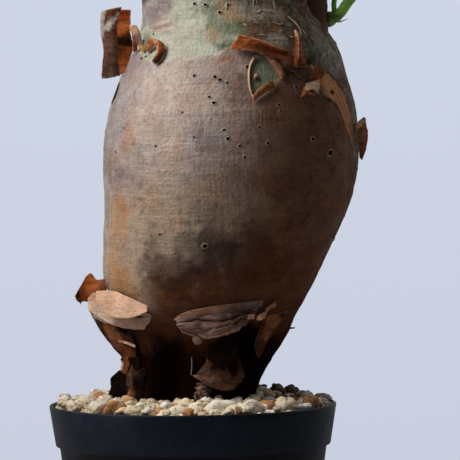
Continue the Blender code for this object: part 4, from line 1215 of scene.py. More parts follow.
# Small loose scraps that only the looks have
SCRAPS = {
    "window_rim": scrap(
        "buff", "buff",
        rows=[
            [
                (279.4, 255, 0.5), (276.9, 251, 0.6), (276.4, 246, 0.6), (277.2, 240.4, 0.6),
                (279.4, 236.8, 0.5),
            ],
            [
                (280, 254.2, 1.1), (277.6, 250.6, 1.2), (277.2, 246, 1.2), (278, 240.6, 1.1),
                (279.9, 237.4, 0.9),
            ],
        ],
    ),
    "window_chip": scrap(
        "cinnamon", "rust", rag=0.3, crinkle=1.2,
        rows=[
            [(278.8, 246.6, 0.2), (280.4, 247.4, 0.6), (281.6, 247, 0.3)],
            [(279, 244.4, 0.3), (280.6, 245.2, 0.9), (281.4, 244.6, 0.3)],
        ],
        marks=[("flake", 0.3, 0.3, 0.5, 0.4, 0.9)],
    ),
    "ledge_wing": scrap(
        "russet", "umber",
        rows=[
            [(292.6, 257.2, 1.6), (297, 255.8, 2.2), (301.6, 254, 1.6)],
            [(291, 253.6, 2.2), (296, 251.8, 2.8), (301, 250, 1.8)],
            [(292, 250.6, 1.4), (297, 248.4, 1.6), (301.6, 247.4, 1)],
        ],
        marks=[("cocoa", 0.9, 0.5, 0.5, 0.8, 0.9)],
    ),
    "right_nub": scrap(
        "umber", "umber",
        rows=[
            [(350, 141.9, 0), (354, 141.7, 1.2), (356, 141.5, 2.8)],
            [(350, 141, 0), (354, 141, 1), (356, 141.1, 2.6)],
        ],
    ),
    "edge_prong": scrap(
        "tan", "umber",
        rows=[
            [(341.6, 225.4, 0.8), (345, 227.6, 2), (349, 229.4, 3.8)],
            [(343.6, 223.6, 1.4), (347, 225.8, 2.8), (350.6, 228, 4.4)],
        ],
    ),
    "spike_foot": scrap(
        "cocoa", "rust",
        rows=[
            [(299.6, 250.6, 1.4), (304, 250.2, 1.8), (309.2, 250.2, 1.4)],
            [(301, 246.2, 0.6), (304.6, 245, 0.9), (307.6, 246.4, 0.6)],
        ],
    ),
    "orange_tatter": scrap(
        "rust", "ember",
        rows=[
            [(304.4, 242, 1), (307.6, 241.4, 1.6), (311, 240, 1)],
            [(301.4, 237.4, 1.4), (304.4, 238.8, 2.2), (309.4, 238.2, 1.6)],
        ],
    ),
    "band_fray_left": scrap(
        "cinnamon", "umber",
        rows=[
            [(306.6, 250.2, 0.8), (309, 248.6, 1.2), (308.4, 245.2, 1)],
            [(309.4, 250.8, 1.4), (311.4, 248.4, 1.8), (310.6, 244.8, 1.2)],
        ],
    ),
    "band_fray_middle": scrap(
        "rust", "umber",
        rows=[
            [(311, 251, 0.8), (312.4, 247.6, 1.2), (311.6, 243.6, 0.8)],
            [(313.6, 250.4, 1.4), (314.6, 247.4, 1.8), (314, 244.6, 1.2)],
        ],
        marks=[("buff", 0.1, 0.1, 0.3, 0.3, 0.8)],
    ),
    "band_fray_right": scrap(
        "russet", "umber",
        rows=[
            [(315, 250.6, 0.6), (318.6, 249.4, 1.2), (322, 247.6, 0.8)],
            [(315.6, 246.4, 1.2), (318.4, 246.6, 1.8), (321.6, 245.6, 1)],
        ],
        marks=[("rust", 0.6, 0.9, 0.5, 0.3, 0.8)],
    ),
    "flake_low": scrap(
        "flake", "umber",
        rows=[
            [(290, 148.6, 2.6), (294, 148.9, 3.2), (298.4, 149.2, 3)],
            [(290.6, 147.6, 3.2), (294, 147.2, 3.8), (298.6, 147.1, 3.6)],
        ],
    ),
    "flake_middle": scrap(
        "flake", "umber", rag=0.2,
        rows=[
            [(299.8, 148.2, 3), (303.4, 149.6, 3.4), (307.2, 150.7, 3)],
            [(299.6, 146.6, 3.6), (302.6, 146.2, 4.2), (305.8, 147.4, 3.6)],
        ],
        marks=[("cinnamon", 0.3, 0.7, 0.5, 0.3, 0.6)],
    ),
    "flake_high": scrap(
        "tan", "umber", rag=0.25,
        rows=[
            [(304.4, 150.6, 2.6), (308.4, 153, 2.8), (312, 154.6, 2.4)],
            [(305.6, 149.4, 3.2), (309.6, 150.8, 3.4), (312.6, 152.4, 3)],
        ],
        marks=[("umber", 0.9, 0.5, 0.3, 0.4, 0.8)],
    ),
    "strip_curl": scrap(
        "buff", "umber",
        rows=[
            [(196, 137.6, 6.4), (205, 137.2, 5), (216, 136, 4.6)],
            [(198, 136.6, 6.8), (206, 136.1, 5.6), (216.6, 134.8, 5.2)],
        ],
        marks=[("cinnamon", 0.5, 0.1, 0.6, 0.3, 0.8)],
    ),
    # Near-black pitch on this scrap is painted shade at the trunk's foot
    "left_neck": scrap(
        "pitch", "umber", rag=0.12, edge=0.1,
        rows=[
            [(190, 129.6, 6), (196, 130.4, 5), (203, 130.6, 3.8), (212, 130.4, 2)],
            [(190, 123.6, 6.4), (196, 123, 5.4), (203, 122, 4.2), (212, 123.4, 2)],
        ],
        marks=[("rose", 0.6, 0.02, 0.5, 0.16, 0.95), ("russet", 0.5, 0.34, 0.8, 0.2, 0.8)],
    ),
    "left_foot_bark": scrap(
        "umber", "umber", rag=0.09, crinkle=2.0, edge=0.0,
        rows=[
            [(198, 125, 4.2), (198.6, 121, 4.2), (199, 116.6, 3.6), (199, 111.4, 3.4)],
            [(204, 127.4, 4.0), (205, 122.4, 3.4), (204, 117.2, 3.8), (205, 111.4, 3.4)],
            [(210, 125.2, 2.8), (211, 121.4, 3.4), (210, 117.2, 2.8), (211, 111.4, 3)],
            [(222, 128.6, 0.2), (222, 122, 0.4), (223, 117, 0.2), (224, 111.4, 0)],
        ],
        marks=[
            ("cinnamon", 0.16, 0.76, 0.12, 0.16, 0.9), ("plum", 0.4, 0.5, 0.3, 0.3, 0.7),
            # The pitch mark at the lower end is painted shade where the bark meets the stones
            ("pitch", 1.0, 0.5, 0.42, 0.9, 0.95),
        ],
        creases=[
            (0.16, 0.3, 0.03, 1.3), (0.34, 0.4, 0.04, 1.5), (0.52, 0.4, 0.03, 1.2), (0.7, 0.4, 0.04, 1.2),
        ],
    ),
    "splinter": scrap(
        "ash", "umber",
        rows=[
            [(260.2, 131.6, 1.6), (261.8, 128, 2.2), (263.4, 123.6, 1.8)],
            [(260.7, 131.4, 1.8), (262.3, 128, 2.5), (264, 123.8, 2)],
        ],
    ),
    "middle_spike": scrap(
        "mauve", "umber",
        rows=[
            [(265.4, 124.2, 4.6), (269.4, 124, 4.4), (274, 123.4, 4)],
            [(266, 123.6, 4.8), (270, 122.4, 4.8), (274.4, 121.4, 4.2)],
        ],
    ),
    "root_scrap": scrap(
        "plum", "umber", rag=0.3, crinkle=2, edge=0.2,
        rows=[
            [(269, 120.6, 2.4), (276, 120.4, 3), (284, 118.4, 3.4)],
            [(270.4, 116.6, 3.4), (277, 116.6, 4.2), (285, 115.8, 4)],
            [(273, 112.4, 3.6), (279, 111.6, 4.8), (284, 112, 4.2)],
        ],
        # The pitch mark is painted shade in the hollow under the fold
        marks=[("rose", 0.5, 0.4, 0.4, 0.2, 0.3), ("pitch", 0.4, 1.0, 0.6, 0.3, 0.8)],
        creases=[(0.25, 0.9, 0.05, 1.2), (0.5, 0.9, 0.05, 1.4), (0.75, 0.9, 0.05, 1.2)],
    ),
    "left_sliver": scrap(
        "umber", "umber", edge=0.2,
        rows=[
            [(187, 245, 0.6), (190, 241, 0.8), (188, 236, 0.6)],
            [(191, 244.6, 1), (193.4, 240.6, 1.2), (190.6, 235.6, 0.9)],
        ],
    ),
    "ribbon_back": scrap(
        "russet", "umber",
        rows=[
            [(200, 268, 6.3), (199, 262.6, 4.8), (198, 257.2, 2.3)],
            [(202, 267.6, 5), (200.4, 262, 3.8), (199, 257, 1.6)],
            [(203, 267.1, 4), (202, 261.7, 2.7), (200, 257.2, 1)],
        ],
        marks=[("chocolate", 0.5, 0.75, 0.6, 0.3, 0.8), ("tan", 0.1, 0.6, 0.12, 0.5, 0.8)],
    ),
    "ear_tip": scrap(
        "ash", "umber",
        rows=[
            [(187.4, 155, 13.6), (188.4, 154.6, 14.6), (188.6, 153.6, 14.8)],
            [(187.6, 153.4, 13.4), (188.8, 152.8, 14.4), (188.8, 152.4, 14.2)],
        ],
    ),
}
# The tall sheet casts no shadow: under the scene's lamp it would darken the trunk's pale edge
SHADOWLESS = ("bark_sheet_upper_left",)
SHEET_PIECES = (34, 50)
SHEET_THICKNESS = 0.42
SCRAP_PIECES = (12, 16)
SCRAP_THICKNESS = 0.336
SCRAP_SEED = 40
# Edges as shares of a sheet: how far in they are pale and thin, and how much thinner they are
PALE_EDGE_WIDTH = 0.035
THIN_EDGE_WIDTH = 0.06
EDGE_THINNING = 0.65


def crease_depth(plan, down, across):
    """How deep the creases that run along a sheet are at a place, in millimetres."""
    depth = 0.0
    for k, (middle, sway, width, deep) in enumerate(plan["creases"]):
        line = middle + sway * wave(across * 3.4, k * 3.7, 0.4)
        fade = 0.65 + 0.6 * wave(across * 4.5, k * 5.1, 2.2)
        depth += deep * fade * math.exp(-(((down - line) / width) ** 2))
    return depth


def torn_shares(rag, seed, down, across):
    """Shares down and across a sheet, drawn in from its torn edges."""
    start = rag * 0.5 * (1 + wave(down * 9, seed, 1.3) * 1.8)
    end = rag * 0.5 * (1 + wave(down * 9, seed, 7.7) * 1.8)
    low = rag * (0.6 + wave(across * 13, seed, 3.1) * 1.6)
    low += rag * 0.5 * wave(across * 37, seed, 5.2)
    return down * (1 - max(low, -0.04)), start + across * (1 - start - end)


def sheet_point(plan, seed, down, across):
    """A point of a crinkled sheet, on the smooth surface through its rows."""
    down_cut, across_cut = torn_shares(plan["rag"], seed, down, across)
    column = [curve_at(row, across_cut) for row in plan["rows"]]
    angle, height, lift = curve_at(column, down_cut)
    place = bark_point(angle, height, lift)
    bend = fuzz(place + Vector((seed * 31, 0, 0)), 0.13, 2) * plan["crinkle"]
    bend += fuzz(place, 0.55, 2) * plan["crinkle"] * 0.3
    bend -= crease_depth(plan, down, across)
    return bark_point(angle, height, lift + bend * ease((lift - 0.8) / 2))


def grid_normals(grid):
    rows, columns = len(grid), len(grid[0])
    normals = []
    for i in range(rows):
        line = []
        for j in range(columns):
            down = grid[min(i + 1, rows - 1)][j] - grid[max(i - 1, 0)][j]
            across = grid[i][min(j + 1, columns - 1)] - grid[i][max(j - 1, 0)]
            line.append(across.cross(down).normalized())
        normals.append(line)
    return normals


def faces_out(grid, normals):
    """Whether a sheet's normals point away from the trunk's middle more than towards it."""
    left, right = trunk_edges(grid[len(grid) // 2][len(grid[0]) // 2].z)
    outward = 0.0
    for line, normals_line in zip(grid, normals):
        for place, normal in zip(line, normals_line):
            outward += normal.dot(Vector((place.x - (left + right) / 2, place.y, 0)).normalized())
    return outward > 0


def edge_distance(down, across):
    return min(down, 1 - down, across, 1 - across)


def sheet_tone(plan, side, down, across, place):
    """Colour at a place on one side of a sheet, darker in creases as painted shade, and paler along torn
    edges.
    """
    tone = BARK[plan["tones"][side]]
    wobble = fuzz(place, 0.22, 4)
    for name, mark_down, mark_across, tall, wide, strength in plan["marks"][side]:
        reach = ((down - mark_down) / tall) ** 2 + ((across - mark_across) / wide) ** 2
        tone = mix(tone, BARK[name], strength * ease((1.1 - reach) * 1.6 + wobble * 1.4))
    fibre = wave(place.x * 0.12, place.y * 0.12, place.z * 1.1)
    mottle = wobble * 0.4 + fibre * 0.4 + fuzz(place, 0.9, 2) * 0.22
    # Darker in the creases: painted shade
    crease = math.exp(-crease_depth(plan, down, across) * 1.1)
    tone = scale(tone, max(0.25, 1 + mottle * plan["mottle"]) * crease)
    pale = ease(1 - edge_distance(down, across) / PALE_EDGE_WIDTH) * plan["edge"]
    return mix(tone, mix(tone, BARK["buff"], 0.5), pale)


def plate(plan, seed, pieces, thickness):
    """A thin closed sheet of so many pieces down and across, with its own colour on either side."""
    shares = [[(down, across) for across in steps(pieces[1])] for down in steps(pieces[0])]
    grid = [[sheet_point(plan, seed, *share) for share in line] for line in shares]
    normals = grid_normals(grid)
    sides = ("outside", "inside") if faces_out(grid, normals) else ("inside", "outside")
    points, tones = [], []
    for sign, side in zip((0.5, -0.5), sides):
        for i, line in enumerate(shares):
            for j, (down, across) in enumerate(line):
                thin = 1 - EDGE_THINNING * (1 - ease(edge_distance(down, across) / THIN_EDGE_WIDTH))
                points.append(grid[i][j] + normals[i][j] * thickness * thin * sign)
                tones.append(sheet_tone(plan, side, down, across, grid[i][j]))
    return points, slab_faces(len(grid), len(grid[0])), tones


def make_sheets(material):
    for seed, (name, plan) in enumerate(SHEETS.items(), 1):
        build = Build()
        build.add(*plate(plan, seed, SHEET_PIECES, SHEET_THICKNESS))
        piece = build.piece(name.replace("bark_", "peeling_"), material, "dead_bark")
        piece.visible_shadow = name not in SHADOWLESS
        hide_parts(name)


# The small round gall under the lower fold: its angle, height and lift, and its half widths
GALL_PLACE = (264.4, 139.2, 4.6)
GALL_SIZE = (2.1, 1.8, 2.3)


def ball():
    """Points and faces of a ball of radius 1."""
    shape = bmesh.new()
    bmesh.ops.create_icosphere(shape, subdivisions=3, radius=1.0)
    points = [vert.co.copy() for vert in shape.verts]
    faces = [tuple(vert.index for vert in face.verts) for face in shape.faces]
    shape.free()
    return points, faces


def stretched(point, sizes):
    return Vector([a * b for a, b in zip(point, sizes)])


def gall():
    places, faces = ball()
    centre = bark_point(*GALL_PLACE)
    points = [centre + stretched(place, GALL_SIZE) * (1 + 0.12 * fuzz(place, 1.2, 2)) for place in places]
    return points, faces, [scale(BARK["mauve"], 1 + 0.3 * fuzz(point, 0.8, 2)) for point in points]


def make_scraps(material):
    build = Build()
    for seed, plan in enumerate(SCRAPS.values(), SCRAP_SEED):
        build.add(*plate(plan, seed, SCRAP_PIECES, SCRAP_THICKNESS))
    build.add(*gall())
    build.piece("loose_scraps", material, "dead_bark")


# Pumice

# Tones of the stones, each with the share of stones that have it or one before it
STONE_TONES = [
    (0.40, (236, 224, 202)), (0.62, (224, 206, 176)), (0.76, (240, 238, 232)), (0.86, (204, 186, 156)),
    (0.95, (208, 164, 122)), (1.00, (178, 124, 80)),
]
SHADE_STONE = (104, 86, 70)
BED_SHADE_TONE = linear((70, 58, 46))
# The stones that stand out: x, y, size, stretch along x, tone
KEY_STONES = [
    (12.0, -46.0, 3.6, 1.9, (240, 232, 214)), (-31.8, -38.5, 3.9, 1.15, (196, 146, 100)),
    (-10.6, -41.5, 3.2, 1.0, (232, 230, 230)), (-20.5, -43.5, 3.4, 1.1, (238, 230, 212)),
    (-38.6, -33.5, 3.6, 1.1, (236, 230, 222)), (2.0, -42.0, 3.0, 1.2, (236, 226, 206)),
    (38.0, -37.0, 4.2, 1.1, (236, 220, 190)), (31.0, -38.0, 3.2, 1.0, (190, 136, 96)),
    (49.0, -22.0, 3.3, 1.2, (192, 140, 100)), (24.0, -45.0, 3.4, 1.3, (232, 220, 198)),
]
KEY_STONE_RISE = 3.6
STONE_SHAPES = 14
# Layers of stones, as (most stones, smallest size, largest size), and how far one lies above the other
STONE_LAYERS = ((460, 2.0, 3.4), (250, 1.7, 3.3))
STONE_LAYER_RISE = 2.7
STONE_TRIES = 5
STONE_OVERLAP = 0.86
UPPER_STONES_KEPT = 0.75


def stone_shapes():
    """Rough porous stones of unit size, to be copied."""
    draw = random.Random(11)
    shapes = []
    for _ in range(STONE_SHAPES):
        places, faces = ball()
        shift = Vector([draw.uniform(-90, 90) for _ in range(3)])
        points = []
        for place in places:
            facet = 1 + 0.42 * noise.noise(place * 1.2 + shift) + 0.24 * noise.noise(place * 2.6 + shift)
            pore = 0.2 * max(0.0, noise.noise(place * 5.0 + shift) - 0.1)
            points.append(place * (facet - pore))
        shapes.append((points, faces))
    return shapes


def stone_heap(place, reach):
    """How far the stones are heaped up at a place: near the trunk, and at the back on the right."""
    uneven = 0.8 * wave(place.x * 0.06, place.y * 0.06, 3)
    near_trunk = 1.5 * ease((46 - reach) / 14)
    at_back = 1.3 * ease((place.y - 8) / 30) * ease((place.x - 12) / 16) * ease((50 - place.x) / 12)
    return uneven + near_trunk + at_back


def stone_spots(draw):
    """Place, size, height and layer of each stone, key stones first.

    None lies too deep in another of its layer, and all are clear of the trunk and the pot's wall.
    """
    left, right = trunk_edges(POT_HEIGHT)
    middle, half = Vector(((left + right) / 2, 0)), (right - left) / 2
    spots = [(Vector((x, y)), size, STONE_FLOOR + KEY_STONE_RISE, 1) for x, y, size, _, _ in KEY_STONES]
    for level, (count, smallest, largest) in enumerate(STONE_LAYERS):
        for _ in range(count * STONE_TRIES):
            size = smallest + (largest - smallest) * draw.random() ** 1.4
            reach = (POT_RIM_RADIUS - POT_WALL - size - 0.2) * math.sqrt(draw.random())
            turn = draw.uniform(0, 2 * math.pi)
            place = Vector((reach * math.cos(turn), reach * math.sin(turn)))
            if (place - middle).length < half + size * 0.25:
                continue
            taken = [spot for spot in spots if spot[3] == level]
            if all((place - spot[0]).length > (size + spot[1]) * STONE_OVERLAP for spot in taken):
                height = STONE_FLOOR + level * STONE_LAYER_RISE + draw.uniform(-0.5, 0.8)
                height += stone_heap(place, (place - middle).length)
                if level == 0 or draw.random() < UPPER_STONES_KEPT:
                    spots.append((place, size, height, level))
            if len([spot for spot in spots if spot[3] == level]) >= count:
                break
    return spots


def stone_tone(draw, place, key_tone):
    """A key stone's own tone, or a drawn one, dark in the shade at the back on the right."""
    pick = draw.random()
    tone = linear(next(colour for share, colour in STONE_TONES if pick <= share))
    if draw.random() < ease((place.y - 14) / 18) * ease((place.x - 6) / 20):
        tone = linear(SHADE_STONE)
    tone = scale(tone, draw.uniform(0.9, 1.12))
    if key_tone:
        tone = linear(key_tone)
    in_light = ease((-place.y - 24) / 12) * ease((place.x + 36) / 20)
    return scale(tone, 1 + 0.22 * in_light)


def make_stones(material):
    build = Build()
    draw = random.Random(23)
    shapes = stone_shapes()
    for index, (place, size, height, _) in enumerate(stone_spots(draw)):
        points, faces = draw.choice(shapes)
        turn = Matrix.Rotation(draw.uniform(0, 6.28), 3, "Z")
        turn = turn @ Matrix.Rotation(draw.uniform(-0.6, 0.6), 3, "X")
        stretch = Vector((draw.uniform(0.95, 1.6), draw.uniform(0.8, 1.05), draw.uniform(0.68, 0.95)))
        key_tone = None
        if index < len(KEY_STONES):
            stretch.x, key_tone = KEY_STONES[index][3:]
            turn = Matrix.Rotation(draw.uniform(-0.3, 0.3), 3, "Z")
        tone = stone_tone(draw, place, key_tone)
        centre = Vector((place.x, place.y, height))
        moved = []
        for point in points:
            local = turn @ stretched(point, stretch) * size
            spot = centre + local
            spot.z = min(spot.z, STONE_TOP_LIMIT + 0.3 * local.z / size)
            moved.append(spot)
        build.add(moved, faces, [tone] * len(moved))
    radii = (POT_RIM_RADIUS - POT_WALL - 0.4, BED_HOLE_RADIUS)
    bed = [Vector((radius * x, radius * y, BED_TOP)) for radius in radii for x, y in circle(BED_SIDES)]
    build.add(bed, ring_faces(2, BED_SIDES, closed_start=False), [BED_SHADE_TONE] * len(bed))
    stones = build.piece("pumice_stones", material, "pumice", fix_normals=False)
    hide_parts("pumice_dressing")


# Pot


def pot_radius(height):
    """Outer radius of the pot's tapered wall, without the step of its band."""
    return POT_FOOT_RADIUS + (POT_RIM_RADIUS - POT_FOOT_RADIUS) * height / POT_HEIGHT


def pot_profile():
    """The wall's outline as (radius, height), from the middle of its underside round to its floor."""
    band = POT_HEIGHT - POT_BAND_HEIGHT
    body_top = pot_radius(band) - POT_BAND_STEP
    band_foot = pot_radius(band)
    inner_top = POT_RIM_RADIUS - POT_WALL
    inner_foot = POT_FOOT_RADIUS - POT_WALL
    profile = [(0.01, 0), (POT_FOOT_RADIUS - 1.4, 0), (POT_FOOT_RADIUS - 0.5, 0.3), (POT_FOOT_RADIUS, 1.3)]
    for i in range(1, 12):
        t = i / 12
        profile.append((POT_FOOT_RADIUS + (body_top - POT_FOOT_RADIUS) * t, 1.3 + (band - 1.7) * t))
    profile += [
        (body_top, band - 0.4), (body_top + 0.3, band), (band_foot - 0.5, band),
        (band_foot - 0.15, band + 0.12), (band_foot, band + 0.5),
    ]
    for i in range(1, 6):
        t = i / 6
        radius = band_foot + (POT_RIM_RADIUS - band_foot) * t
        profile.append((radius, band + 0.5 + (POT_BAND_HEIGHT - 1.1) * t))
    return profile + [
        (POT_RIM_RADIUS, POT_HEIGHT - 0.6), (POT_RIM_RADIUS - 0.2, POT_HEIGHT - 0.15),
        (POT_RIM_RADIUS - 0.6, POT_HEIGHT), (inner_top + 0.4, POT_HEIGHT), (inner_top, POT_HEIGHT - 0.4),
        (band_foot - POT_WALL, band + 0.6), (body_top - POT_WALL, band - 0.8),
        (inner_foot + 0.3, POT_FLOOR + 0.6), (inner_foot - 0.6, POT_FLOOR), (0.01, POT_FLOOR),
    ]


def drain_cutter(index):
    """A rod through the pot's floor."""
    turn = 2 * math.pi * (index + 0.5) / DRAIN_HOLES
    centre = Vector((DRAIN_CIRCLE * math.cos(turn), DRAIN_CIRCLE * math.sin(turn), 0))
    ends = [centre - Vector((0, 0, 3)), centre + Vector((0, 0, POT_FLOOR + 3))]
    points, faces = tube(ends, [DRAIN_RADIUS] * 2, DRAIN_SIDES)
    return new_object("drain_cutter", new_mesh("drain_cutter", points, faces))


def make_pot(material):
    """The pot, slightly out of round towards its rim, with its drain holes cut."""
    profile = pot_profile()
    points = []
    for radius, height in profile:
        for k in range(POT_SIDES):
            turn = 2 * math.pi * k / POT_SIDES
            warp = 0.16 * math.sin(2 * turn + 0.6) + 0.07 * math.sin(5 * turn)
            bent = radius + warp * ease(height / POT_HEIGHT) if radius > 30 else radius
            points.append(Vector((bent * math.cos(turn), bent * math.sin(turn), height)))
    build = Build()
    build.add(points, ring_faces(len(profile), POT_SIDES), [])
    pot = build.piece("nursery_pot", material, "pot_plastic")
    for index in range(DRAIN_HOLES):
        cutter = drain_cutter(index)
        cut = pot.modifiers.new("drain", "BOOLEAN")
        cut.operation = "DIFFERENCE"
        cut.solver = "EXACT"
        cut.object = cutter
        bpy.context.view_layer.update()
        mesh = bpy.data.meshes.new_from_object(pot.evaluated_get(bpy.context.evaluated_depsgraph_get()))
        pot.modifiers.clear()
        pot.data = mesh
        bpy.data.objects.remove(cutter, do_unlink=True)
    pot.data.shade_smooth()
    pot.data.set_sharp_from_angle(angle=math.radians(POT_SHARP_ANGLE))
    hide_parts("pot")


# Leaves

# The two stalk tones are brighter than the stalks' own green: partly their pale colour, partly painted light
# where the trunk keeps the lamp off them
LEAF = palette(
    blade=(92, 128, 66), deep=(62, 96, 46), rib=(158, 186, 112), under=(130, 160, 112),
    margin=(128, 96, 62), stalk=(192, 242, 104), stalk_pale=(224, 240, 176), bud=(92, 74, 50),
)
LEAFLET_NOTCH = 0.82
LEAFLET_FOLD = 0.22
LEAFLET_SPREAD = 54.0
LEAFLET_TIP_SHIFT = 1.4
# Length and width as shares of the leaf's size, droop, and teeth on each side
MIDDLE_LEAFLET = (1.0, 0.56, 0.75, 4)
SIDE_LEAFLET = (0.66, 0.36, 0.6, 3)
LEAFLET_ROWS = 41
LEAFLET_COLUMNS = 15
CLEARANCE = 0.35
BUD_SINK = 0.6
# Each shoot: its seat, direction, radius and length, and its leaves as
# (azimuth, elevation, reach, thickness of the stalk, size)
SHOOTS = {
    "leafy_shoot_left": (
        (-15, -5, 344), (-15, -5, 58), 8.5, 9.0,
        [(190, 24, 25, 2.1, 54), (282, 48, 22, 2.1, 48), (98, 42, 24, 2.1, 52), (30, 80, 12, 1.6, 34)],
    ),
    "leafy_shoot_right": (
        (41, 15, 335), (14, 9, 49), 8.0, 8.0,
        [(330, 30, 24, 2.1, 50), (52, 44, 22, 2.1, 50), (180, 82, 12, 1.6, 34)],
    ),
}
SIDE_SHOOT_FOOT = (59.4, 9.4, 270.4)
SIDE_SHOOT_AXIS = (1.0, 0.08, 0.12)
SIDE_BUD_RADIUS = 3.4
SIDE_BUD_LENGTH = 4.2
SIDE_BUD_SINK = 1.2
# The side shoot's two stalks, as bends, radius and size of the leaf
SIDE_STALKS = [
    ([(61.2, 9.6, 271), (64, 9.4, 273.4), (67.6, 9, 278.4), (78, 6, 291)], 2.3, 46),
    ([(61, 9.6, 271), (61, 9.8, 274.5), (61.4, 10.4, 279), (66, 15, 290)], 1.15, 22),
]
STALK_STEPS = 30
STALK_SIDES = 18
BUD_STEPS = 20
BUD_SIDES = 28
STIPULE = [(61.2, 8.6, 269.8), (63.4, 7.6, 269.2), (66.6, 7.4, 270.4)]
STIPULE_STEPS = 10
STIPULE_SIDES = 10


def heading(azimuth, elevation):
    turn, rise = math.radians(azimuth), math.radians(elevation)
    return Vector((math.cos(turn) * math.cos(rise), math.sin(turn) * math.cos(rise), math.sin(rise)))


def grow_leaflet(build, base, forward, up, size, shape):
    """A fleshy toothed blade, folded up along its rib and arching down, with raised veins below."""
    length, width, droop, teeth = shape
    length, width = size * length, size * width
    side = forward.cross(up).normalized()
    up = side.cross(forward).normalized()
    top, under, top_tones, under_tones = [], [], [], []
    for i in range(LEAFLET_ROWS):
        t = i / (LEAFLET_ROWS - 1)
        bend = droop * t
        along = forward * math.cos(bend) - up * math.sin(bend)
        lifted = up * math.cos(bend) + forward * math.sin(bend)
        rib = base + (forward * math.sin(bend) - up * (1 - math.cos(bend))) * (length / droop)
        half = width / 2 * math.sin(math.pi * t**0.85) ** 1.15 + 0.8 * (1 - t)
        tooth = 1 - abs((t * 2 * teeth) % 2 - 1)
        half = max(half * (LEAFLET_NOTCH + (1 - LEAFLET_NOTCH) * tooth**0.8), 0.4)
        for j in range(LEAFLET_COLUMNS):
            share = 2 * j / (LEAFLET_COLUMNS - 1) - 1
            reach = abs(share)
            vein_phase = (t * teeth - reach * 0.9) % 1
            vein = ease(1 - min(vein_phase, 1 - vein_phase) * 9) * ease(reach * 6)
            rib_share = ease(1 - reach * 7)
            place = rib + side * half * share + lifted * LEAFLET_FOLD * half * reach**1.3
            place += along * LEAFLET_TIP_SHIFT * tooth * reach**2
            place += lifted * fuzz(place, 0.06, 2) * 0.5 * reach
            plump = 0.62 * math.sqrt(max(1 - reach**4, 0.02))
            top.append(place + lifted * (plump - 0.22 * rib_share - 0.12 * vein))
            under.append(place - lifted * (plump + 0.5 * rib_share + 0.14 * vein))
            margin = ease((reach - 0.93) / 0.07)
            tone = mix(LEAF["blade"], LEAF["deep"], clamp(0.4 + fuzz(place, 0.12, 3)))
            tone = mix(tone, LEAF["rib"], max(rib_share, vein * 0.5) * 0.8)
            top_tones.append(mix(tone, LEAF["margin"], margin * 0.7))
            tone = mix(LEAF["under"], LEAF["rib"], max(rib_share, vein * 0.6))
            under_tones.append(mix(tone, LEAF["margin"], margin * 0.5))
    build.add(top + under, slab_faces(LEAFLET_ROWS, LEAFLET_COLUMNS), top_tones + under_tones)


def grow_leaf(build, tip, forward, size):
    """A leaf of three leaflets on the tip of its stalk."""
    side = forward.cross(Vector((0, 0, 1))).normalized()
    up = side.cross(forward).normalized()
    grow_leaflet(build, tip - forward * 1.2, forward, up, size, MIDDLE_LEAFLET)
    for sign in (1, -1):
        turned = Matrix.Rotation(math.radians(sign * LEAFLET_SPREAD), 3, up) @ forward
        lower = (turned + up * 0.1).normalized()
        grow_leaflet(build, tip - forward * 6 - turned * 0.4, lower, up, size, SIDE_LEAFLET)


def grow_stalk(build, bends, radius):
    """A stalk through the given bends, thicker at its foot, with the tip and its heading."""
    bends = [Vector(bend) for bend in bends]
    path = [curve_at(bends, t) for t in steps(STALK_STEPS)]
    radii = [radius * (1.25 - 0.3 * ease(4 * t)) for t in steps(STALK_STEPS)]
    points, faces = tube(path, radii, STALK_SIDES)
    tones = []
    for point in points:
        tone = mix(LEAF["stalk"], LEAF["deep"], clamp(0.15 + fuzz(point, 0.25, 2)))
        tones.append(mix(tone, LEAF["stalk_pale"], clamp(fuzz(point, 0.1, 2)) * 0.6))
    build.add(points, faces, tones)
    return path[-1], (path[-1] - path[-3]).normalized()


def grow_bud(build, foot, axis, radius, length):
    """A blunt bud with faint rings round it."""
    path = [foot + axis * length * t for t in steps(BUD_STEPS)]
    radii = [radius * (1 - 0.7 * t**2.2) * (1 + 0.03 * math.sin(t * 30)) for t in steps(BUD_STEPS)]
    points, faces = tube(path, radii, BUD_SIDES)
    build.add(points, faces, [mix(LEAF["stalk"], LEAF["bud"], clamp(0.45 + fuzz(p, 0.3, 3))) for p in points])


def make_shoot(name, plan, material):
    build = Build()
    seat, direction, radius, length, leaves = plan
    axis = Vector(direction).normalized()
    foot = Vector(seat) + axis * CLEARANCE
    grow_bud(build, foot - axis * BUD_SINK, axis, radius, length + BUD_SINK)
    start = foot + axis * length * 0.45
    for azimuth, elevation, reach, thick, size in leaves:
        bend = start + heading(azimuth, elevation + 12) * (reach * 0.5 + radius * 0.5)
        end = start + heading(azimuth, elevation) * (reach + radius * 0.6)
        tip, forward = grow_stalk(build, [start, bend, end], thick)
        grow_leaf(build, tip, forward, size)
    shoot = build.piece(name.replace("leafy_", ""), material, "leaf_green")
    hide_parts(name)


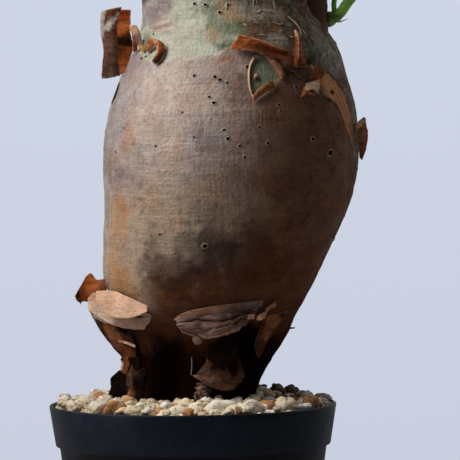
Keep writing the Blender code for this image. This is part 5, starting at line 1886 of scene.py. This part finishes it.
def make_side_shoot(material):
    """The shoot low on the right: a bud, a thick and a thin stalk with their leaves, and a stipule."""
    build = Build()
    foot, axis = Vector(SIDE_SHOOT_FOOT), Vector(SIDE_SHOOT_AXIS).normalized()
    grow_bud(build, foot - axis * SIDE_BUD_SINK, axis, SIDE_BUD_RADIUS, SIDE_BUD_LENGTH)
    for bends, radius, size in SIDE_STALKS:
        tip, forward = grow_stalk(build, bends, radius)
        grow_leaf(build, tip, forward, size)
    bends = [Vector(bend) for bend in STIPULE]
    path = [curve_at(bends, t) for t in steps(STIPULE_STEPS)]
    radii = [0.75 * (1 - t) + 0.12 for t in steps(STIPULE_STEPS)]
    points, faces = tube(path, radii, STIPULE_SIDES, squash=0.5)
    build.add(points, faces, [LEAF["stalk_pale"]] * len(points))
    shoot = build.piece("shoot_side", material, "leaf_green")
    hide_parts("leafy_shoot_side")


# Stage, light and camera

SKY_TOP = linear((206, 213, 229))
SKY_LOW = linear((201, 207, 223))
FLOOR_RADIUS = 780.0
FLOOR_RINGS = (0.5, 0.75, 1.0)
FLOOR_SIDES = 96
FLOOR_DROP = 0.3
# Each lamp: azimuth, elevation, distance, size, power, colour, and the place it looks at
LAMPS = {
    "rim": (22.0, 30.0, 620.0, 360.0, 0.55, (0.97, 0.98, 1.0), (20, 0, 220)),
    "key": (-156.0, 42.0, 480.0, 340.0, 2.75, (1.0, 0.97, 0.94), (10, 0, 210)),
}


def make_floor():
    """A pale round floor whose edge melts into the backdrop."""
    points = []
    for share in FLOOR_RINGS:
        reach = FLOOR_RADIUS * share
        points += [Vector((x * reach, y * reach, -FLOOR_DROP)) for x, y in circle(FLOOR_SIDES)]
    mesh = new_mesh("floor", points, ring_faces(len(FLOOR_RINGS), FLOOR_SIDES, closed_end=False))
    material, tree, shader = start_material("floor_paper", 0.8, 0.2)
    shade = blend(tree, grain(tree, 0.01, 2), linear((196, 200, 210)), linear((206, 209, 217)))
    feed(tree, shader.inputs["Base Color"], shade)
    place = add_node(tree, "TexCoord").outputs["Object"]
    distance = add_node(tree, "VectorMath", {0: place}, operation="LENGTH").outputs["Value"]
    reach = FLOOR_RADIUS * MM
    feed(tree, shader.inputs["Alpha"], remap(tree, distance, reach * 0.55, reach, 1.0, 0.0))
    mesh.materials.append(material)
    floor = new_object("floor", mesh)


def make_world():
    """An even pale backdrop. It lights the plant from behind and above, and leaves its front to the lamp."""
    world = bpy.data.worlds.new("studio")
    bpy.context.scene.world = world
    world.use_nodes = True
    tree = world.node_tree
    tree.nodes.clear()
    place = add_node(tree, "TexCoord").outputs["Generated"]
    split = add_node(tree, "SeparateXYZ", {"Vector": place})
    shade = blend(tree, remap(tree, split.outputs["Z"], -0.10, 0.02), SKY_LOW, SKY_TOP)
    shown = add_node(tree, "Background", {"Color": shade})
    behind = remap(tree, split.outputs["Y"], 0.2, 0.95, 0.03, 0.55)
    felt = add_node(tree, "Background", {"Color": (0.96, 0.97, 1.0, 1.0), "Strength": behind})
    seen = add_node(tree, "LightPath").outputs["Is Camera Ray"]
    shaders = {1: felt.outputs["Background"], 2: shown.outputs["Background"]}
    choice = add_node(tree, "MixShader", {"Fac": seen, **shaders})
    add_node(tree, "OutputWorld", {"Surface": choice.outputs["Shader"]})


def add_lamp(name, azimuth, elevation, distance, size, power, colour, aim):
    away = heading(azimuth, elevation)
    lamp = bpy.data.lights.new(name, "AREA")
    lamp.shape = "SQUARE"
    lamp.size = size * MM
    lamp.energy = power
    lamp.color = colour
    obj = new_object(name, lamp)
    obj.location = (Vector(aim) + away * distance) * MM
    obj.rotation_euler = away.to_track_quat("Z", "Y").to_euler()


def make_camera():
    data = bpy.data.cameras.new("camera")
    data.sensor_width = SENSOR
    data.lens = PIXELS_PER_MM * -CAMERA_PLACE[1] / PHOTO_SIDE * SENSOR
    data.clip_start = 0.01
    camera = new_object("camera", data)
    place, aim = Vector(CAMERA_PLACE) * MM, Vector(CAMERA_AIM) * MM
    look = (aim - place).to_track_quat("-Z", "Y").to_matrix()
    camera.location = place
    camera.rotation_euler = (look @ Matrix.Rotation(math.radians(CAMERA_ROLL), 3, "Z")).to_euler()
    bpy.context.scene.camera = camera


def dress(solids):
    """Make every visible piece, the ground, the light and the camera."""
    skin, bark, leaf = skin_material(), bark_material(), leaf_material()
    make_trunk(skin)
    make_lenticels(skin)
    make_scratches(skin)
    make_roots(skin)
    make_sheets(bark)
    make_scraps(bark)
    make_stones(stone_material())
    make_pot(pot_material())
    soil = solids["substrate"]
    soil.data.materials.clear()
    soil.data.materials.append(soil_material())
    for name, plan in SHOOTS.items():
        make_shoot(name, plan, leaf)
    make_side_shoot(leaf)
    make_floor()
    make_world()
    for name, plan in LAMPS.items():
        add_lamp(name, *plan)
    make_camera()
    bpy.context.scene.view_settings.view_transform = "Standard"


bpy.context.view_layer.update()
dress(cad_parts)
